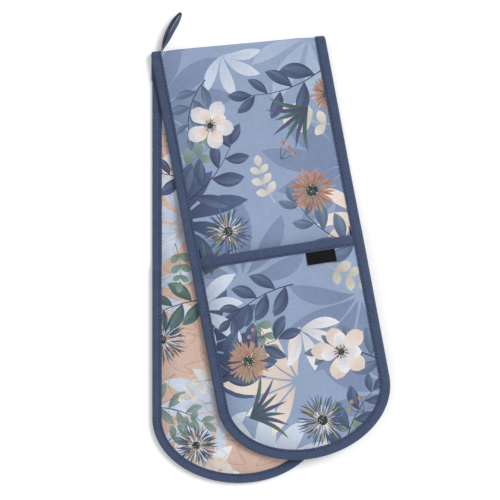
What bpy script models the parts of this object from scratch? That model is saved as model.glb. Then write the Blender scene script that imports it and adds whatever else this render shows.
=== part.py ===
"""Double oven glove: one long padded strip folded in half, with a hand pocket at each end.

The rear leg lies on the table, its pocket underneath and its plain side up. The front leg lies
on it, fanned out to the right by the slant of the fold, with its pocket on top. Each leg is cloth,
wadding and cloth, and each pocket panel is lining, wadding and cloth. A bias binding folds round
the whole edge and catches the pockets at their sides and toes, and a second one finishes each
pocket's mouth. A tape loop stands out of the fold, and a bare label hangs from the front mouth.

Metres, +Z up. The origin is on the table under the middle of the rear pocket, +Y runs up the rear
leg to the fold, and +X is to the right.
"""

import math
from collections import namedtuple

import bmesh
import bpy
from mathutils import Vector
from mathutils.bvhtree import BVHTree

for old in list(bpy.data.objects):
    bpy.data.objects.remove(old, do_unlink=True)

# Outline of the strip, measured over its binding
GLOVE_WIDTH = 0.180
REAR_LENGTH = 0.454
FRONT_LENGTH = 0.433
TOE_DEPTH = 0.068
POCKET_DEPTH = 0.221
FAN_ANGLE = math.radians(10.7)
MOUTH_SLOPE = math.tan(math.radians(1.8))

# Thickness of the cloths and of the wadding, loose in the middle and pressed flat in the seams
CLOTH = 0.0005
WADDING = 0.0036
WADDING_AT_EDGE = 0.0010
POCKET_WADDING = 0.0018
POCKET_WADDING_AT_EDGE = 0.0005
HAND_ROOM = 0.0060
SEAM_GAP = 0.0003

# Bias binding
BINDING_WIDTH = 0.010
BINDING_CLOTH = 0.0006
BINDING_NOSE = 0.0022

# How far in from the edge the padding swells, and how it lies over what is under it
SHOULDER_INSET = 0.018
CROWN_INSET = 0.030
INNER_INSET = 0.058
SEAM_RAMP = 0.012
RISE_RUN = 0.050
PUFF_RUN = 0.025
SWELL_RUN = 0.045
BRIDGE_RUN = 0.110
BRIDGE_EARLY = 0.025
DROOP = 0.006
DROOP_INSET = 0.015
DROOP_RUN = 0.100
SETTLE_RUN = 0.080

# Hanging loop
LOOP_LENGTH = 0.0425
LOOP_HALF_WIDTH = 0.0036
LOOP_TAPE = 0.0007
LOOP_TAPE_WIDTH = 0.007
LOOP_INSET = 0.0118
LOOP_STAND = 0.00105
LOOP_BOW = 0.0015
LOOP_LEAN = math.radians(26)

# Label and bar tacks
LABEL_WIDTH = 0.0304
LABEL_DROP = 0.0129
LABEL_INSET = 0.031
LABEL_CLOTH = 0.0005
TACK_LENGTH = 0.009
TACK_WIDTH = 0.0014
TACK_THICKNESS = 0.0006

# Shares, and how finely curves are cut
SHOULDER_CROWN_SHARE = 0.35
PUFF_SHARE = 0.6
BODY_ROW_SHARES = (0.0, 0.3, 0.55)
RISE_ROW_SHARES = (0.0, 0.25, 0.5)
POCKET_ROW_SHARES = (0.38, 0.7, 1.0)
TOE_RAYS = 12
BEND_STEPS = 8
NOSE_STEPS = 4
LOOP_STEPS = 24
LABEL_CELLS = (4, 3)

HALF_WIDTH = GLOVE_WIDTH / 2
FOLD_SLOPE = math.tan(FAN_ANGLE / 2)
FOLD_Y = REAR_LENGTH - POCKET_DEPTH / 2
STAND = BINDING_CLOTH + SEAM_GAP
LAYER_INSET = BINDING_NOSE + BINDING_CLOTH + SEAM_GAP
SEAM_INSET = BINDING_WIDTH + CLOTH
STRIP = WADDING + 2 * (CLOTH + SEAM_GAP)
STRIP_AT_EDGE = WADDING_AT_EDGE + 2 * (CLOTH + SEAM_GAP)
POCKET = POCKET_WADDING + 2 * (CLOTH + SEAM_GAP)
POCKET_AT_EDGE = POCKET_WADDING_AT_EDGE + 2 * (CLOTH + SEAM_GAP)
EDGE_EASE = STAND + SEAM_GAP
SEAM_LIFT = POCKET_AT_EDGE + EDGE_EASE
POCKET_LIFT = POCKET + HAND_ROOM
CREASE_HEIGHT = STRIP + SEAM_GAP / 2

# From the edge to the middle: how far in each ring lies, and its share of the full padding
RING_INSETS = (LAYER_INSET, SEAM_INSET, SHOULDER_INSET, CROWN_INSET, INNER_INSET, HALF_WIDTH)
RING_CROWN_SHARES = (0.0, 0.0, SHOULDER_CROWN_SHARE, 1.0, 1.0, 1.0)
MIDDLE = len(RING_INSETS) - 1
COLUMNS = range(2 * MIDDLE + 1)

Leg = namedtuple("Leg", "name length angle fold_slope mouth_slope on_top")
REAR = Leg("rear", REAR_LENGTH, 0.0, -FOLD_SLOPE, 0.0, False)
FRONT = Leg("front", FRONT_LENGTH, FAN_ANGLE, FOLD_SLOPE, MOUTH_SLOPE, True)

# A row runs across a leg. Its shares say how far the seam and the middle have risen over the
# pocket's thickness, and how far the pocket panel has swelled from its flat mouth.
Row = namedtuple("Row", "along slope seam_share rise_share puff_share")
Spot = namedtuple("Spot", "across along inset crown_share row")


def mix(first, last, share):
    return first + (last - first) * share


def smooth(share):
    held = min(max(share, 0.0), 1.0)
    return held * held * (3 - 2 * held)


def mouth_of(leg):
    return leg.length - POCKET_DEPTH


def place(leg, across, along):
    """The point of the table under a spot of a leg."""
    x = across * math.cos(leg.angle) + along * math.sin(leg.angle)
    y = FOLD_Y + across * math.sin(leg.angle) - along * math.cos(leg.angle)
    return x, y


def bed(leg, across, along):
    """The height of what a leg lies on: the table, or the rear leg and the air beside it."""
    if not leg.on_top:
        return 0.0
    x, y = place(leg, across, along)
    down = FOLD_Y - y
    bridge_start = mouth_of(REAR) - BRIDGE_RUN
    climb = smooth((down - bridge_start) / (BRIDGE_RUN - BRIDGE_EARLY))
    beside = smooth((x - HALF_WIDTH + DROOP_INSET) / DROOP_RUN)
    settled = smooth(down / SETTLE_RUN)
    return STRIP + SEAM_GAP + POCKET_LIFT * climb - DROOP * beside * settled


def strip_span(leg, spot):
    """Lowest and highest point of the strip itself at a spot."""
    low, row = bed(leg, spot.across, spot.along), spot.row
    if leg.on_top:
        low += mix(STAND, 0.0, spot.crown_share)
    else:
        edge_low = STAND + SEAM_LIFT * row.seam_share
        low += mix(edge_low, POCKET_LIFT * row.rise_share, spot.crown_share)
    return low, low + mix(STRIP_AT_EDGE, STRIP, spot.crown_share)


def pocket_span(leg, spot):
    """Lowest and highest point of the pocket panel at a spot."""
    swelled = spot.crown_share * spot.row.puff_share
    if leg.on_top:
        low = strip_span(leg, spot)[1] + mix(EDGE_EASE, HAND_ROOM, spot.crown_share)
    else:
        low = mix(STAND, 0.0, swelled)
    return low, low + mix(POCKET_AT_EDGE, POCKET, swelled)


def binding_span(leg, spot):
    """Lowest and highest point of the edge binding round the layers at a spot."""
    low = bed(leg, spot.across, spot.along)
    return low, low + 2 * STAND + STRIP_AT_EDGE + SEAM_LIFT * spot.row.seam_share


def mouth_span(leg, spot):
    """Lowest and highest point of the binding round a pocket's mouth."""
    low, high = pocket_span(leg, spot)
    return low - STAND, high + STAND


def under_cloth(span):
    return span[0], span[0] + CLOTH


def wadding(span):
    return span[0] + CLOTH + SEAM_GAP, span[1] - CLOTH - SEAM_GAP


def upper_cloth(span):
    return span[1] - CLOTH, span[1]


def strip_rows(leg):
    """The rows of a leg from its fold to where its toe begins to round."""
    mouth = mouth_of(leg)
    rise = mouth - RISE_RUN
    rows = []
    for share in BODY_ROW_SHARES:
        slope = mix(leg.fold_slope, leg.mouth_slope, share)
        rows.append(Row(SEAM_GAP + share * mouth, slope, 0.0, 0.0, 0.0))
    for share in RISE_ROW_SHARES:
        along = rise + share * RISE_RUN
        rows.append(Row(along, leg.mouth_slope, 0.0, smooth(share), 0.0))
    before = smooth((RISE_RUN - SEAM_RAMP) / RISE_RUN)
    rows.append(Row(mouth - SEAM_RAMP, leg.mouth_slope, 0.0, before, 0.0))
    rows.append(Row(mouth, leg.mouth_slope, 1.0, 1.0, 0.0))
    return rows + pocket_rows(leg)[1:]


def pocket_rows(leg):
    """The rows of a pocket panel from its mouth to where the toe begins to round."""
    mouth = mouth_of(leg)
    toe = leg.length - TOE_DEPTH
    rows = [Row(mouth + LAYER_INSET, leg.mouth_slope, 1.0, 1.0, 0.0)]
    rows.append(Row(mouth + SEAM_INSET, leg.mouth_slope, 1.0, 1.0, 0.0))
    rows.append(Row(mouth + PUFF_RUN, leg.mouth_slope, 1.0, 1.0, PUFF_SHARE))
    rows.append(Row(mouth + SWELL_RUN, leg.mouth_slope, 1.0, 1.0, 1.0))
    for share in POCKET_ROW_SHARES:
        slope = mix(leg.mouth_slope, 0.0, share)
        rows.append(Row(mix(mouth + SWELL_RUN, toe, share), slope, 1.0, 1.0, 1.0))
    return rows


def row_spot(row, side, inset, crown_share=0.0):
    """A spot on a row, so far in from the left (-1) or the right (1) edge."""
    across = side * (HALF_WIDTH - inset)
    return Spot(across, row.along + across * row.slope, inset, crown_share, row)


def toe_spot(leg, row, ray, inset, crown_share=0.0):
    """A spot on a ray of the rounded toe, 0 at the left and TOE_RAYS at the right. It keeps its
    distance from the edge up to the crown, and inside that the rays meet in one point."""
    turn = math.pi * (ray / TOE_RAYS - 0.5)
    outward = Vector((math.sin(turn) / HALF_WIDTH, math.cos(turn) / TOE_DEPTH)).normalized()
    kept = min(inset, CROWN_INSET)
    left_share = (HALF_WIDTH - inset) / (HALF_WIDTH - kept)
    across = (HALF_WIDTH * math.sin(turn) - kept * outward.x) * left_share
    down = (TOE_DEPTH * math.cos(turn) - kept * outward.y) * left_share
    return Spot(across, leg.length - TOE_DEPTH + down, inset, crown_share, row)


def material(name, colour, roughness):
    """A cloth of one colour, given as the red, green and blue of the photograph from 0 to 255."""
    made = bpy.data.materials.new(name)
    made.use_nodes = True
    shader = made.node_tree.nodes["Principled BSDF"]
    linear = [(value / 255) ** 2.2 for value in colour]
    shader.inputs["Base Color"].default_value = (*linear, 1.0)
    shader.inputs["Roughness"].default_value = roughness
    shader.inputs["Metallic"].default_value = 0.0
    return made


PRINTED_BLUE = material("printed_blue_cloth", (140, 156, 187), 0.85)
PRINTED_PEACH = material("printed_peach_cloth", (214, 180, 166), 0.85)
BATTING = material("cotton_wadding", (232, 228, 218), 0.95)
LINING = material("plain_lining", (188, 195, 208), 0.9)
BINDING_TAPE = material("navy_binding", (76, 89, 117), 0.8)
LABEL_SATIN = material("black_woven_label", (40, 39, 38), 0.6)
NAVY_THREAD = material("navy_thread", (48, 58, 84), 0.6)


def finished(name, bm, cloth):
    """Makes the node's object of a closed bmesh."""
    bmesh.ops.recalc_face_normals(bm, faces=bm.faces)
    mesh = bpy.data.meshes.new(name)
    bm.to_mesh(mesh)
    bm.free()
    mesh.materials.append(cloth)
    obj = bpy.data.objects.new(name, mesh)
    bpy.context.scene.collection.objects.link(obj)
    mesh.shade_smooth()
    mesh.set_sharp_from_angle(angle=math.radians(35))
    return obj


def thickened(name, corners, faces, cloth):
    """A sheet given as (x, y, low, high) corners and faces, extruded from its lows to its highs."""
    bm = bmesh.new()
    height = bm.verts.layers.float.new("height")
    verts = []
    for x, y, low, high in corners:
        vert = bm.verts.new((x, y, low))
        vert[height] = high
        verts.append(vert)
    for face in faces:
        bm.faces.new([verts[corner] for corner in face])
    bmesh.ops.triangulate(bm, faces=bm.faces, quad_method="FIXED")
    under = bm.faces[:]
    over = bmesh.ops.extrude_face_region(bm, geom=under, use_keep_orig=True)
    for item in over["geom"]:
        if isinstance(item, bmesh.types.BMVert):
            item.co.z = item[height]
    return finished(name, bm, cloth)


def leg_layer(name, leg, rows, span_of, cut, cloth):
    """One layer of a leg: a grid of rows and columns, closed at the toe by a fan of rings."""
    corners, faces, index = [], [], {}

    def add(key, spot):
        low, high = cut(span_of(leg, spot))
        index[key] = len(corners)
        corners.append((*place(leg, spot.across, spot.along), low, high))

    for number, row in enumerate(rows):
        for column in COLUMNS:
            ring = min(column, COLUMNS[-1] - column)
            side = (column > MIDDLE) - (column < MIDDLE)
            spot = row_spot(row, side, RING_INSETS[ring], RING_CROWN_SHARES[ring])
            add((number, column), spot)
    last = len(rows) - 1
    for number in range(last):
        for column in COLUMNS[:-1]:
            quad = ((number, column), (number, column + 1), (number + 1, column + 1), (number + 1, column))
            faces.append([index[key] for key in quad])
    for ring in range(MIDDLE):
        index["toe", 0, ring] = index[last, ring]
        index["toe", TOE_RAYS, ring] = index[last, COLUMNS[-1] - ring]
        for ray in range(1, TOE_RAYS):
            spot = toe_spot(leg, rows[-1], ray, RING_INSETS[ring], RING_CROWN_SHARES[ring])
            add(("toe", ray, ring), spot)
    for ray in range(TOE_RAYS):
        for ring in range(MIDDLE - 1):
            quad = ((ray, ring), (ray, ring + 1), (ray + 1, ring + 1), (ray + 1, ring))
            faces.append([index[("toe", *key)] for key in quad])
        tip = (index["toe", ray, MIDDLE - 1], index[last, MIDDLE], index["toe", ray + 1, MIDDLE - 1])
        faces.append(tip)
    return thickened(name, corners, faces, cloth)


def binding_section(low, high):
    """The (inset, height) points of a binding folded round an edge, outside first, then inside."""
    middle, half = (low + high) / 2, (high - low) / 2
    outside, inside = [(BINDING_WIDTH, low)], [(BINDING_WIDTH, low + BINDING_CLOTH)]
    for step in range(NOSE_STEPS + 1):
        turn = math.pi * (step / NOSE_STEPS - 0.5)
        inset = BINDING_NOSE * (1 - math.cos(turn))
        outside.append((inset, middle + half * math.sin(turn)))
        inside.append((inset + BINDING_CLOTH, middle + (half - BINDING_CLOTH) * math.sin(turn)))
    outside.append((BINDING_WIDTH, high))
    inside.append((BINDING_WIDTH, high - BINDING_CLOTH))
    return outside + inside[::-1]


def swept(name, loops, cloth):
    """A solid through a row of loops with as many points each, closed by its first and last loop."""
    bm = bmesh.new()
    rings = [[bm.verts.new(point) for point in loop] for loop in loops]
    for ring, following in zip(rings, rings[1:]):
        for corner, vert in enumerate(ring):
            bm.faces.new((ring[corner - 1], vert, following[corner], following[corner - 1]))
    bm.faces.new(rings[0])
    bm.faces.new(rings[-1][::-1])
    return finished(name, bm, cloth)


def edge_binding(leg):
    """The binding round a leg: down its left edge, round the toe and up its right edge."""
    rows = strip_rows(leg)
    stations = [lambda inset, row=row: row_spot(row, -1, inset) for row in rows]
    for ray in range(1, TOE_RAYS):
        stations.append(lambda inset, ray=ray: toe_spot(leg, rows[-1], ray, inset))
    stations += [lambda inset, row=row: row_spot(row, 1, inset) for row in reversed(rows)]
    loops = [bound_section(leg, binding_span, station(0.0), station) for station in stations]
    return swept(f"{leg.name}_edge_binding", loops, BINDING_TAPE)


def bound_section(leg, span_of, spot, station):
    """A binding's section at a spot, each of its points as high over the bed as the spot's layers."""
    level = bed(leg, spot.across, spot.along)
    low, high = span_of(leg, spot)
    loop = []
    for inset, height in binding_section(low - level, high - level):
        at = station(inset)
        rest = bed(leg, at.across, at.along)
        loop.append((*place(leg, at.across, at.along), rest + height))
    return loop


def mouth_binding(leg):
    """The binding round a pocket's mouth, from one edge binding to the other."""
    row = pocket_rows(leg)[0]
    mouth = mouth_of(leg)
    insets = (BINDING_WIDTH + SEAM_GAP, *RING_INSETS[2:])
    shares = (0.0, *RING_CROWN_SHARES[2:])
    ends = list(zip(insets, shares))
    sides = [(-1, *end) for end in ends] + [(1, *end) for end in ends[-2::-1]]
    loops = []
    for side, inset, crown_share in sides:
        spot = row_spot(row, side, inset, crown_share)
        rim = mouth + spot.across * row.slope
        loops.append(bound_section(leg, mouth_span, spot, lambda back: spot._replace(along=rim + back)))
    return swept(f"{leg.name}_mouth_binding", loops, BINDING_TAPE)


def bend(name, profile, cloth):
    """A layer round the fold. Each point of its profile gives the place across the legs, and the
    heights at which it leaves the rear leg and joins the front one."""
    loops = []
    for step in range(BEND_STEPS + 1):
        turn = math.pi * step / BEND_STEPS
        loop = []
        for across, rear_height, front_height in profile:
            reach = (front_height - rear_height) / 2 * math.sin(turn)
            level = (front_height + rear_height) / 2 - (front_height - rear_height) / 2 * math.cos(turn)
            x = across - reach * math.sin(FAN_ANGLE / 2)
            y = FOLD_Y + across * FOLD_SLOPE + reach * math.cos(FAN_ANGLE / 2)
            loop.append((x, y, level))
        loops.append(loop)
    return swept(name, loops, cloth)


def fold_layer(name, rear_cut, front_cut, cloth):
    """The piece of a layer that turns over the fold, between the ends of the two legs."""
    outer, inner = [], []
    rear_row, front_row = strip_rows(REAR)[0], strip_rows(FRONT)[0]
    for column in COLUMNS:
        ring = min(column, COLUMNS[-1] - column)
        side = (column > MIDDLE) - (column < MIDDLE)
        shape = (side, RING_INSETS[ring], RING_CROWN_SHARES[ring])
        rear_spot = row_spot(rear_row, *shape)
        rear_low, rear_high = rear_cut(strip_span(REAR, rear_spot))
        front_low, front_high = front_cut(strip_span(FRONT, row_spot(front_row, *shape)))
        outer.append((rear_spot.across, rear_low, front_high))
        inner.append((rear_spot.across, rear_high, front_low))
    return bend(name, outer + inner[::-1], cloth)


def fold_binding(name, side):
    """The edge binding where it turns over the fold."""
    rear_spot = row_spot(strip_rows(REAR)[0], side, 0.0)
    front_high = binding_span(FRONT, row_spot(strip_rows(FRONT)[0], side, 0.0))[1]
    profile = []
    for inset, height in binding_section(*binding_span(REAR, rear_spot)):
        profile.append((side * (HALF_WIDTH - inset), height, front_high - height))
    return bend(name, profile, BINDING_TAPE)


def hanging_loop():
    """A tape bent into a long drop and stood on edge, both its ends at the fold."""
    foot = -(HALF_WIDTH - LOOP_INSET)
    edge_reach = binding_span(FRONT, row_spot(strip_rows(FRONT)[0], -1, 0.0))[1] / 2
    reach = edge_reach + LOOP_STAND - STAND
    root = Vector((foot, FOLD_Y + foot * FOLD_SLOPE + reach))
    forward = Vector((math.sin(LOOP_LEAN), math.cos(LOOP_LEAN)))
    sideways = Vector((-forward.y, forward.x))
    half_root = (LOOP_TAPE + SEAM_GAP) / 2
    bm = bmesh.new()
    posts = []
    for step in range(LOOP_STEPS + 1):
        side = 1 - 2 * step / LOOP_STEPS
        run = 1 - side * side
        widest = (2 / 3) * math.sqrt(1 / 3)
        off = (half_root + (LOOP_HALF_WIDTH - half_root) / widest * run) * side
        off += LOOP_BOW * 4 * run * (1 - run)
        spot = root + forward * LOOP_LENGTH * run + sideways * off
        low = edge_reach - LOOP_TAPE_WIDTH / 2
        posts.append([bm.verts.new((*spot, low)), bm.verts.new((*spot, low + LOOP_TAPE_WIDTH))])
    for post, following in zip(posts, posts[1:]):
        bm.faces.new((*post, *following[::-1]))
    loop = finished("hanging_loop", bm, BINDING_TAPE)
    tape = loop.modifiers.new("tape", "SOLIDIFY")
    tape.thickness = LOOP_TAPE
    tape.offset = 0.0
    return loop


def draped(name, leg, spots, cells, under, thickness, cloth):
    """A small patch that lies on a piece of a leg. spots(u, v) gives across and along for shares."""
    surface = BVHTree.FromPolygons(
        [vert.co for vert in under.data.vertices],
        [face.vertices for face in under.data.polygons],
    )
    wide, deep = cells
    corners, faces = [], []
    above = Vector((0.0, 0.0, GLOVE_WIDTH))
    for step in range(deep + 1):
        for column in range(wide + 1):
            x, y = place(leg, *spots(column / wide, step / deep))
            hit = surface.ray_cast(Vector((x, y, 0.0)) + above, -above)[0]
            corners.append((x, y, hit.z + SEAM_GAP, hit.z + SEAM_GAP + thickness))
    for step in range(deep):
        for column in range(wide):
            first = step * (wide + 1) + column
            faces.append((first, first + 1, first + wide + 2, first + wide + 1))
    return thickened(name, corners, faces, cloth)


def label(pocket_cloth):
    """A bare woven label hanging from the lower edge of the front pocket's mouth binding."""
    top = mouth_of(FRONT) + BINDING_WIDTH + SEAM_GAP
    start = HALF_WIDTH - LABEL_INSET - LABEL_WIDTH

    def spots(wide_share, deep_share):
        across = start + LABEL_WIDTH * wide_share
        return across, top + LABEL_DROP * deep_share + across * MOUTH_SLOPE

    return draped("label", FRONT, spots, LABEL_CELLS, pocket_cloth, LABEL_CLOTH, LABEL_SATIN)


def bar_tack(leg, side, word, strip_cloth):
    """Close zigzag stitches beside the edge binding, just above the corner of the mouth."""
    start = mouth_of(leg) - TACK_LENGTH - SEAM_GAP
    outer = HALF_WIDTH - BINDING_WIDTH - SEAM_GAP
    name = f"{leg.name}_bar_tack_{word}"

    def spots(wide_share, deep_share):
        across = side * (outer - TACK_WIDTH * wide_share)
        return across, start + TACK_LENGTH * deep_share + across * leg.mouth_slope

    if leg.on_top:
        return draped(name, leg, spots, (1, 1), strip_cloth, TACK_THICKNESS, NAVY_THREAD)
    ends = [place(leg, *spots(*share)) for share in ((0, 0), (1, 0), (1, 1), (0, 1))]
    corners = [(*end, 0.0, TACK_THICKNESS) for end in ends]
    return thickened(name, corners, [(0, 1, 2, 3)], NAVY_THREAD)


def build_leg(leg):
    """All the pieces of one leg, from its reverse cloth to its pocket's outer cloth."""
    under, over = ("reverse_cloth", "outer_cloth") if leg.on_top else ("outer_cloth", "reverse_cloth")
    cloths = {"reverse_cloth": PRINTED_PEACH, "outer_cloth": PRINTED_BLUE}
    rows = strip_rows(leg)
    made = {}
    for word, cut in ((under, under_cloth), (over, upper_cloth)):
        made[word] = leg_layer(f"{leg.name}_{word}", leg, rows, strip_span, cut, cloths[word])
    leg_layer(f"{leg.name}_wadding", leg, rows, strip_span, wadding, BATTING)
    rows = pocket_rows(leg)
    lining_cut, cloth_cut = (under_cloth, upper_cloth) if leg.on_top else (upper_cloth, under_cloth)
    leg_layer(f"{leg.name}_pocket_lining", leg, rows, pocket_span, lining_cut, LINING)
    leg_layer(f"{leg.name}_pocket_wadding", leg, rows, pocket_span, wadding, BATTING)
    pocket_cloth = leg_layer(
        f"{leg.name}_pocket_cloth", leg, rows, pocket_span, cloth_cut, PRINTED_BLUE
    )
    edge_binding(leg)
    mouth_binding(leg)
    for side, word in ((-1, "left"), (1, "right")):
        bar_tack(leg, side, word, made["outer_cloth"])
    return pocket_cloth


build_leg(REAR)
label(build_leg(FRONT))
fold_layer("fold_outer_cloth", under_cloth, upper_cloth, PRINTED_BLUE)
fold_layer("fold_wadding", wadding, wadding, BATTING)
fold_layer("fold_reverse_cloth", upper_cloth, under_cloth, PRINTED_PEACH)
fold_binding("fold_binding_left", -1)
fold_binding("fold_binding_right", 1)
hanging_loop()
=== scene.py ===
"""The double oven glove as it looks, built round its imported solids. Metres, +Z up."""

import math
import random
from collections import namedtuple

import bmesh
import bpy
import numpy as np
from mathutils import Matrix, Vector, kdtree
from mathutils.geometry import delaunay_2d_cdt


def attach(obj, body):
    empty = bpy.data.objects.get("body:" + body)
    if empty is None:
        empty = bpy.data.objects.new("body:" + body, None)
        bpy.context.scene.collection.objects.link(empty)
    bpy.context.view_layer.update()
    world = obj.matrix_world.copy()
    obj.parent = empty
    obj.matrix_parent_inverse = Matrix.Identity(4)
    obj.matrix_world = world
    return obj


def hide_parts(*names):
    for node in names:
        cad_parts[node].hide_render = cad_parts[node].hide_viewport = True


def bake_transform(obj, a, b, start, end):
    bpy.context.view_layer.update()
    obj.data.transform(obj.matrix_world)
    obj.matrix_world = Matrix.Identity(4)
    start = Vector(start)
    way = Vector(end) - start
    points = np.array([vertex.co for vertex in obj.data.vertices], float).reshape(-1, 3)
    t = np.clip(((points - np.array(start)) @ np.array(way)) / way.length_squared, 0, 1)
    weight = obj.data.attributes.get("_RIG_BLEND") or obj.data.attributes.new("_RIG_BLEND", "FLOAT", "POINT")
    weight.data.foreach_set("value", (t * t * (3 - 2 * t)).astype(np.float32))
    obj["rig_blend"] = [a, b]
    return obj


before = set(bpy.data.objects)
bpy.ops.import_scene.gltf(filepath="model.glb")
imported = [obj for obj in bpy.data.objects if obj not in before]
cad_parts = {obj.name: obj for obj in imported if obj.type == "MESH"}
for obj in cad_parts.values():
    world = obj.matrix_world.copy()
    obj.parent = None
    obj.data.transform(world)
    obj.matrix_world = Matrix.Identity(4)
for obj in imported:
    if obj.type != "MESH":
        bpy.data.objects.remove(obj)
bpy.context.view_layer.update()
bpy.context.scene.view_settings.view_transform = "Standard"


# The camera hangs straight over the table. Its frame takes in as much of the table as the
# photograph does.
FRAME_WIDTH = 0.5233
FRAME_CENTRE = (0.0121, 0.1330)
CAMERA_HEIGHT = 2.4


def placed(name, data):
    """Puts a mesh, a camera or a lamp into the scene."""
    made = bpy.data.objects.new(name, data)
    bpy.context.scene.collection.objects.link(made)
    return made


lens = bpy.data.cameras.new("camera")
lens.lens = lens.sensor_width * CAMERA_HEIGHT / FRAME_WIDTH
camera = placed("camera", lens)
camera.location = (*FRAME_CENTRE, CAMERA_HEIGHT)
bpy.context.scene.camera = camera


# The two legs of the strip: how long they are, how they fan out from the slanted fold, and how
# high their sheets lie. The rear leg lies on its pocket, and the front leg lies on the rear one.
GLOVE_WIDTH = 0.180
REAR_LENGTH = 0.454
FRONT_LENGTH = 0.433
TOE_DEPTH = 0.068
POCKET_DEPTH = 0.221
FAN_ANGLE = math.radians(10.7)
MOUTH_SLOPE = math.tan(math.radians(1.8))
CLOTH = 0.0005
STRIP = 0.0052
STRIP_AT_EDGE = 0.0026
POCKET = 0.0034
POCKET_AT_EDGE = 0.0021
HAND_ROOM = 0.0060
SEAM_GAP = 0.0003
STAND = 0.0009
LAYER_INSET = 0.0031
SEAM_INSET = 0.0103
CROWN_INSET = 0.030
SEAM_RAMP = 0.012
RISE_RUN = 0.050
SWELL_RUN = 0.045
BRIDGE_RUN = 0.110
BRIDGE_EARLY = 0.025
DROOP = 0.006
DROOP_INSET = 0.015
DROOP_RUN = 0.100
SETTLE_RUN = 0.080
RIM_STEPS = 360
RIPPLE = 0.0009
RIPPLE_WAVES = (0.088, 0.055, 0.037, 0.026)
RIPPLE_TURN = 2.4
RIPPLE_SHIFT = 3
PUCKER = 0.0006
PUCKER_WAVE = 0.0100
PUCKER_WANDER = 2
PUCKER_DRIFT = 0.017
PUCKER_SLANT = 0.3
PUCKER_RISE = 0.0035
PUCKER_RUN = 0.0085
TOE_QUARTER = 0.125
TOE_EASE = 0.0003
HIGH_START = 0.6
LOW_START = 4.1
MOUTH_START = 2.3
FLAT_SHARE = 0.4

HALF_WIDTH = GLOVE_WIDTH / 2
PANEL_HALF = HALF_WIDTH - LAYER_INSET
FOLD_SLOPE = math.tan(FAN_ANGLE / 2)
FOLD_Y = REAR_LENGTH - POCKET_DEPTH / 2
EDGE_EASE = STAND + SEAM_GAP
SEAM_LIFT = POCKET_AT_EDGE + EDGE_EASE
POCKET_LIFT = POCKET + HAND_ROOM

Leg = namedtuple("Leg", "name length angle fold_slope mouth_slope on_top")
REAR = Leg("rear", REAR_LENGTH, 0.0, -FOLD_SLOPE, 0.0, False)
FRONT = Leg("front", FRONT_LENGTH, FAN_ANGLE, FOLD_SLOPE, MOUTH_SLOPE, True)
Heights = namedtuple("Heights", "strip_low strip_high pocket_low pocket_high bound_low bound_high")


def mix(first, last, share):
    return first + (last - first) * share


def smooth(share):
    held = np.clip(share, 0, 1)
    return held * held * (3 - 2 * held)


def bulge(share):
    held = np.clip(share, 0, 1)
    return held * (2 - held)


def mouth_of(leg):
    return leg.length - POCKET_DEPTH


def place(leg, across, along):
    x = across * math.cos(leg.angle) + along * math.sin(leg.angle)
    y = FOLD_Y + across * math.sin(leg.angle) - along * math.cos(leg.angle)
    return x, y


def bed(leg, across, along):
    """The height of what a leg lies on."""
    if not leg.on_top:
        return 0 * across
    x, y = place(leg, across, along)
    down = FOLD_Y - y
    climb = smooth((down - mouth_of(REAR) + BRIDGE_RUN) / (BRIDGE_RUN - BRIDGE_EARLY))
    beside = smooth((x - HALF_WIDTH + DROOP_INSET) / DROOP_RUN)
    return STRIP + SEAM_GAP + POCKET_LIFT * climb - DROOP * beside * smooth(down / SETTLE_RUN)


def edge_distance(leg, across, along):
    """How far in from the edge of a leg its spots lie."""
    down = along - (leg.length - TOE_DEPTH)
    turn = np.linspace(-math.pi / 2, math.pi / 2, RIM_STEPS + 1)
    rim_across, rim_down = HALF_WIDTH * np.sin(turn), TOE_DEPTH * np.cos(turn)
    reach = np.hypot(across[:, None] - rim_across, down[:, None] - rim_down).min(1)
    outside = (across / HALF_WIDTH) ** 2 + (down / TOE_DEPTH) ** 2 > 1
    return np.where(down > 0, np.where(outside, -reach, reach), HALF_WIDTH - np.abs(across))


def sag(leg, across, along, inset, start):
    """How far a cloth dips into its wadding: slow ripples, and puckers along the seam."""
    slow = 0 * across
    for number, wave in enumerate(RIPPLE_WAVES):
        turn = start + RIPPLE_TURN * number
        reach = across * math.cos(turn) + along * math.sin(turn)
        slow = slow + np.sin(2 * math.pi * reach / wave + start * (RIPPLE_SHIFT + number))
    ripple = RIPPLE * (0.5 - slow / len(RIPPLE_WAVES) / 2) * smooth((inset - SEAM_INSET) / CROWN_INSET)
    toe = leg.length - TOE_DEPTH
    quarter = np.arctan2((along - toe).clip(0) / TOE_DEPTH, np.abs(across) / HALF_WIDTH + TOE_EASE)
    reach = np.minimum(along, toe) + TOE_QUARTER * quarter / (math.pi / 2) + PUCKER_SLANT * start * across
    wander = PUCKER_WANDER * np.sin(reach / PUCKER_DRIFT + start)
    fold = 0.5 + 0.5 * np.sin(2 * math.pi * reach / PUCKER_WAVE + wander)
    beside = (inset - SEAM_INSET).clip(0)
    return ripple + PUCKER * fold * smooth(beside / PUCKER_RISE) * np.exp(-beside / PUCKER_RUN)


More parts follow.
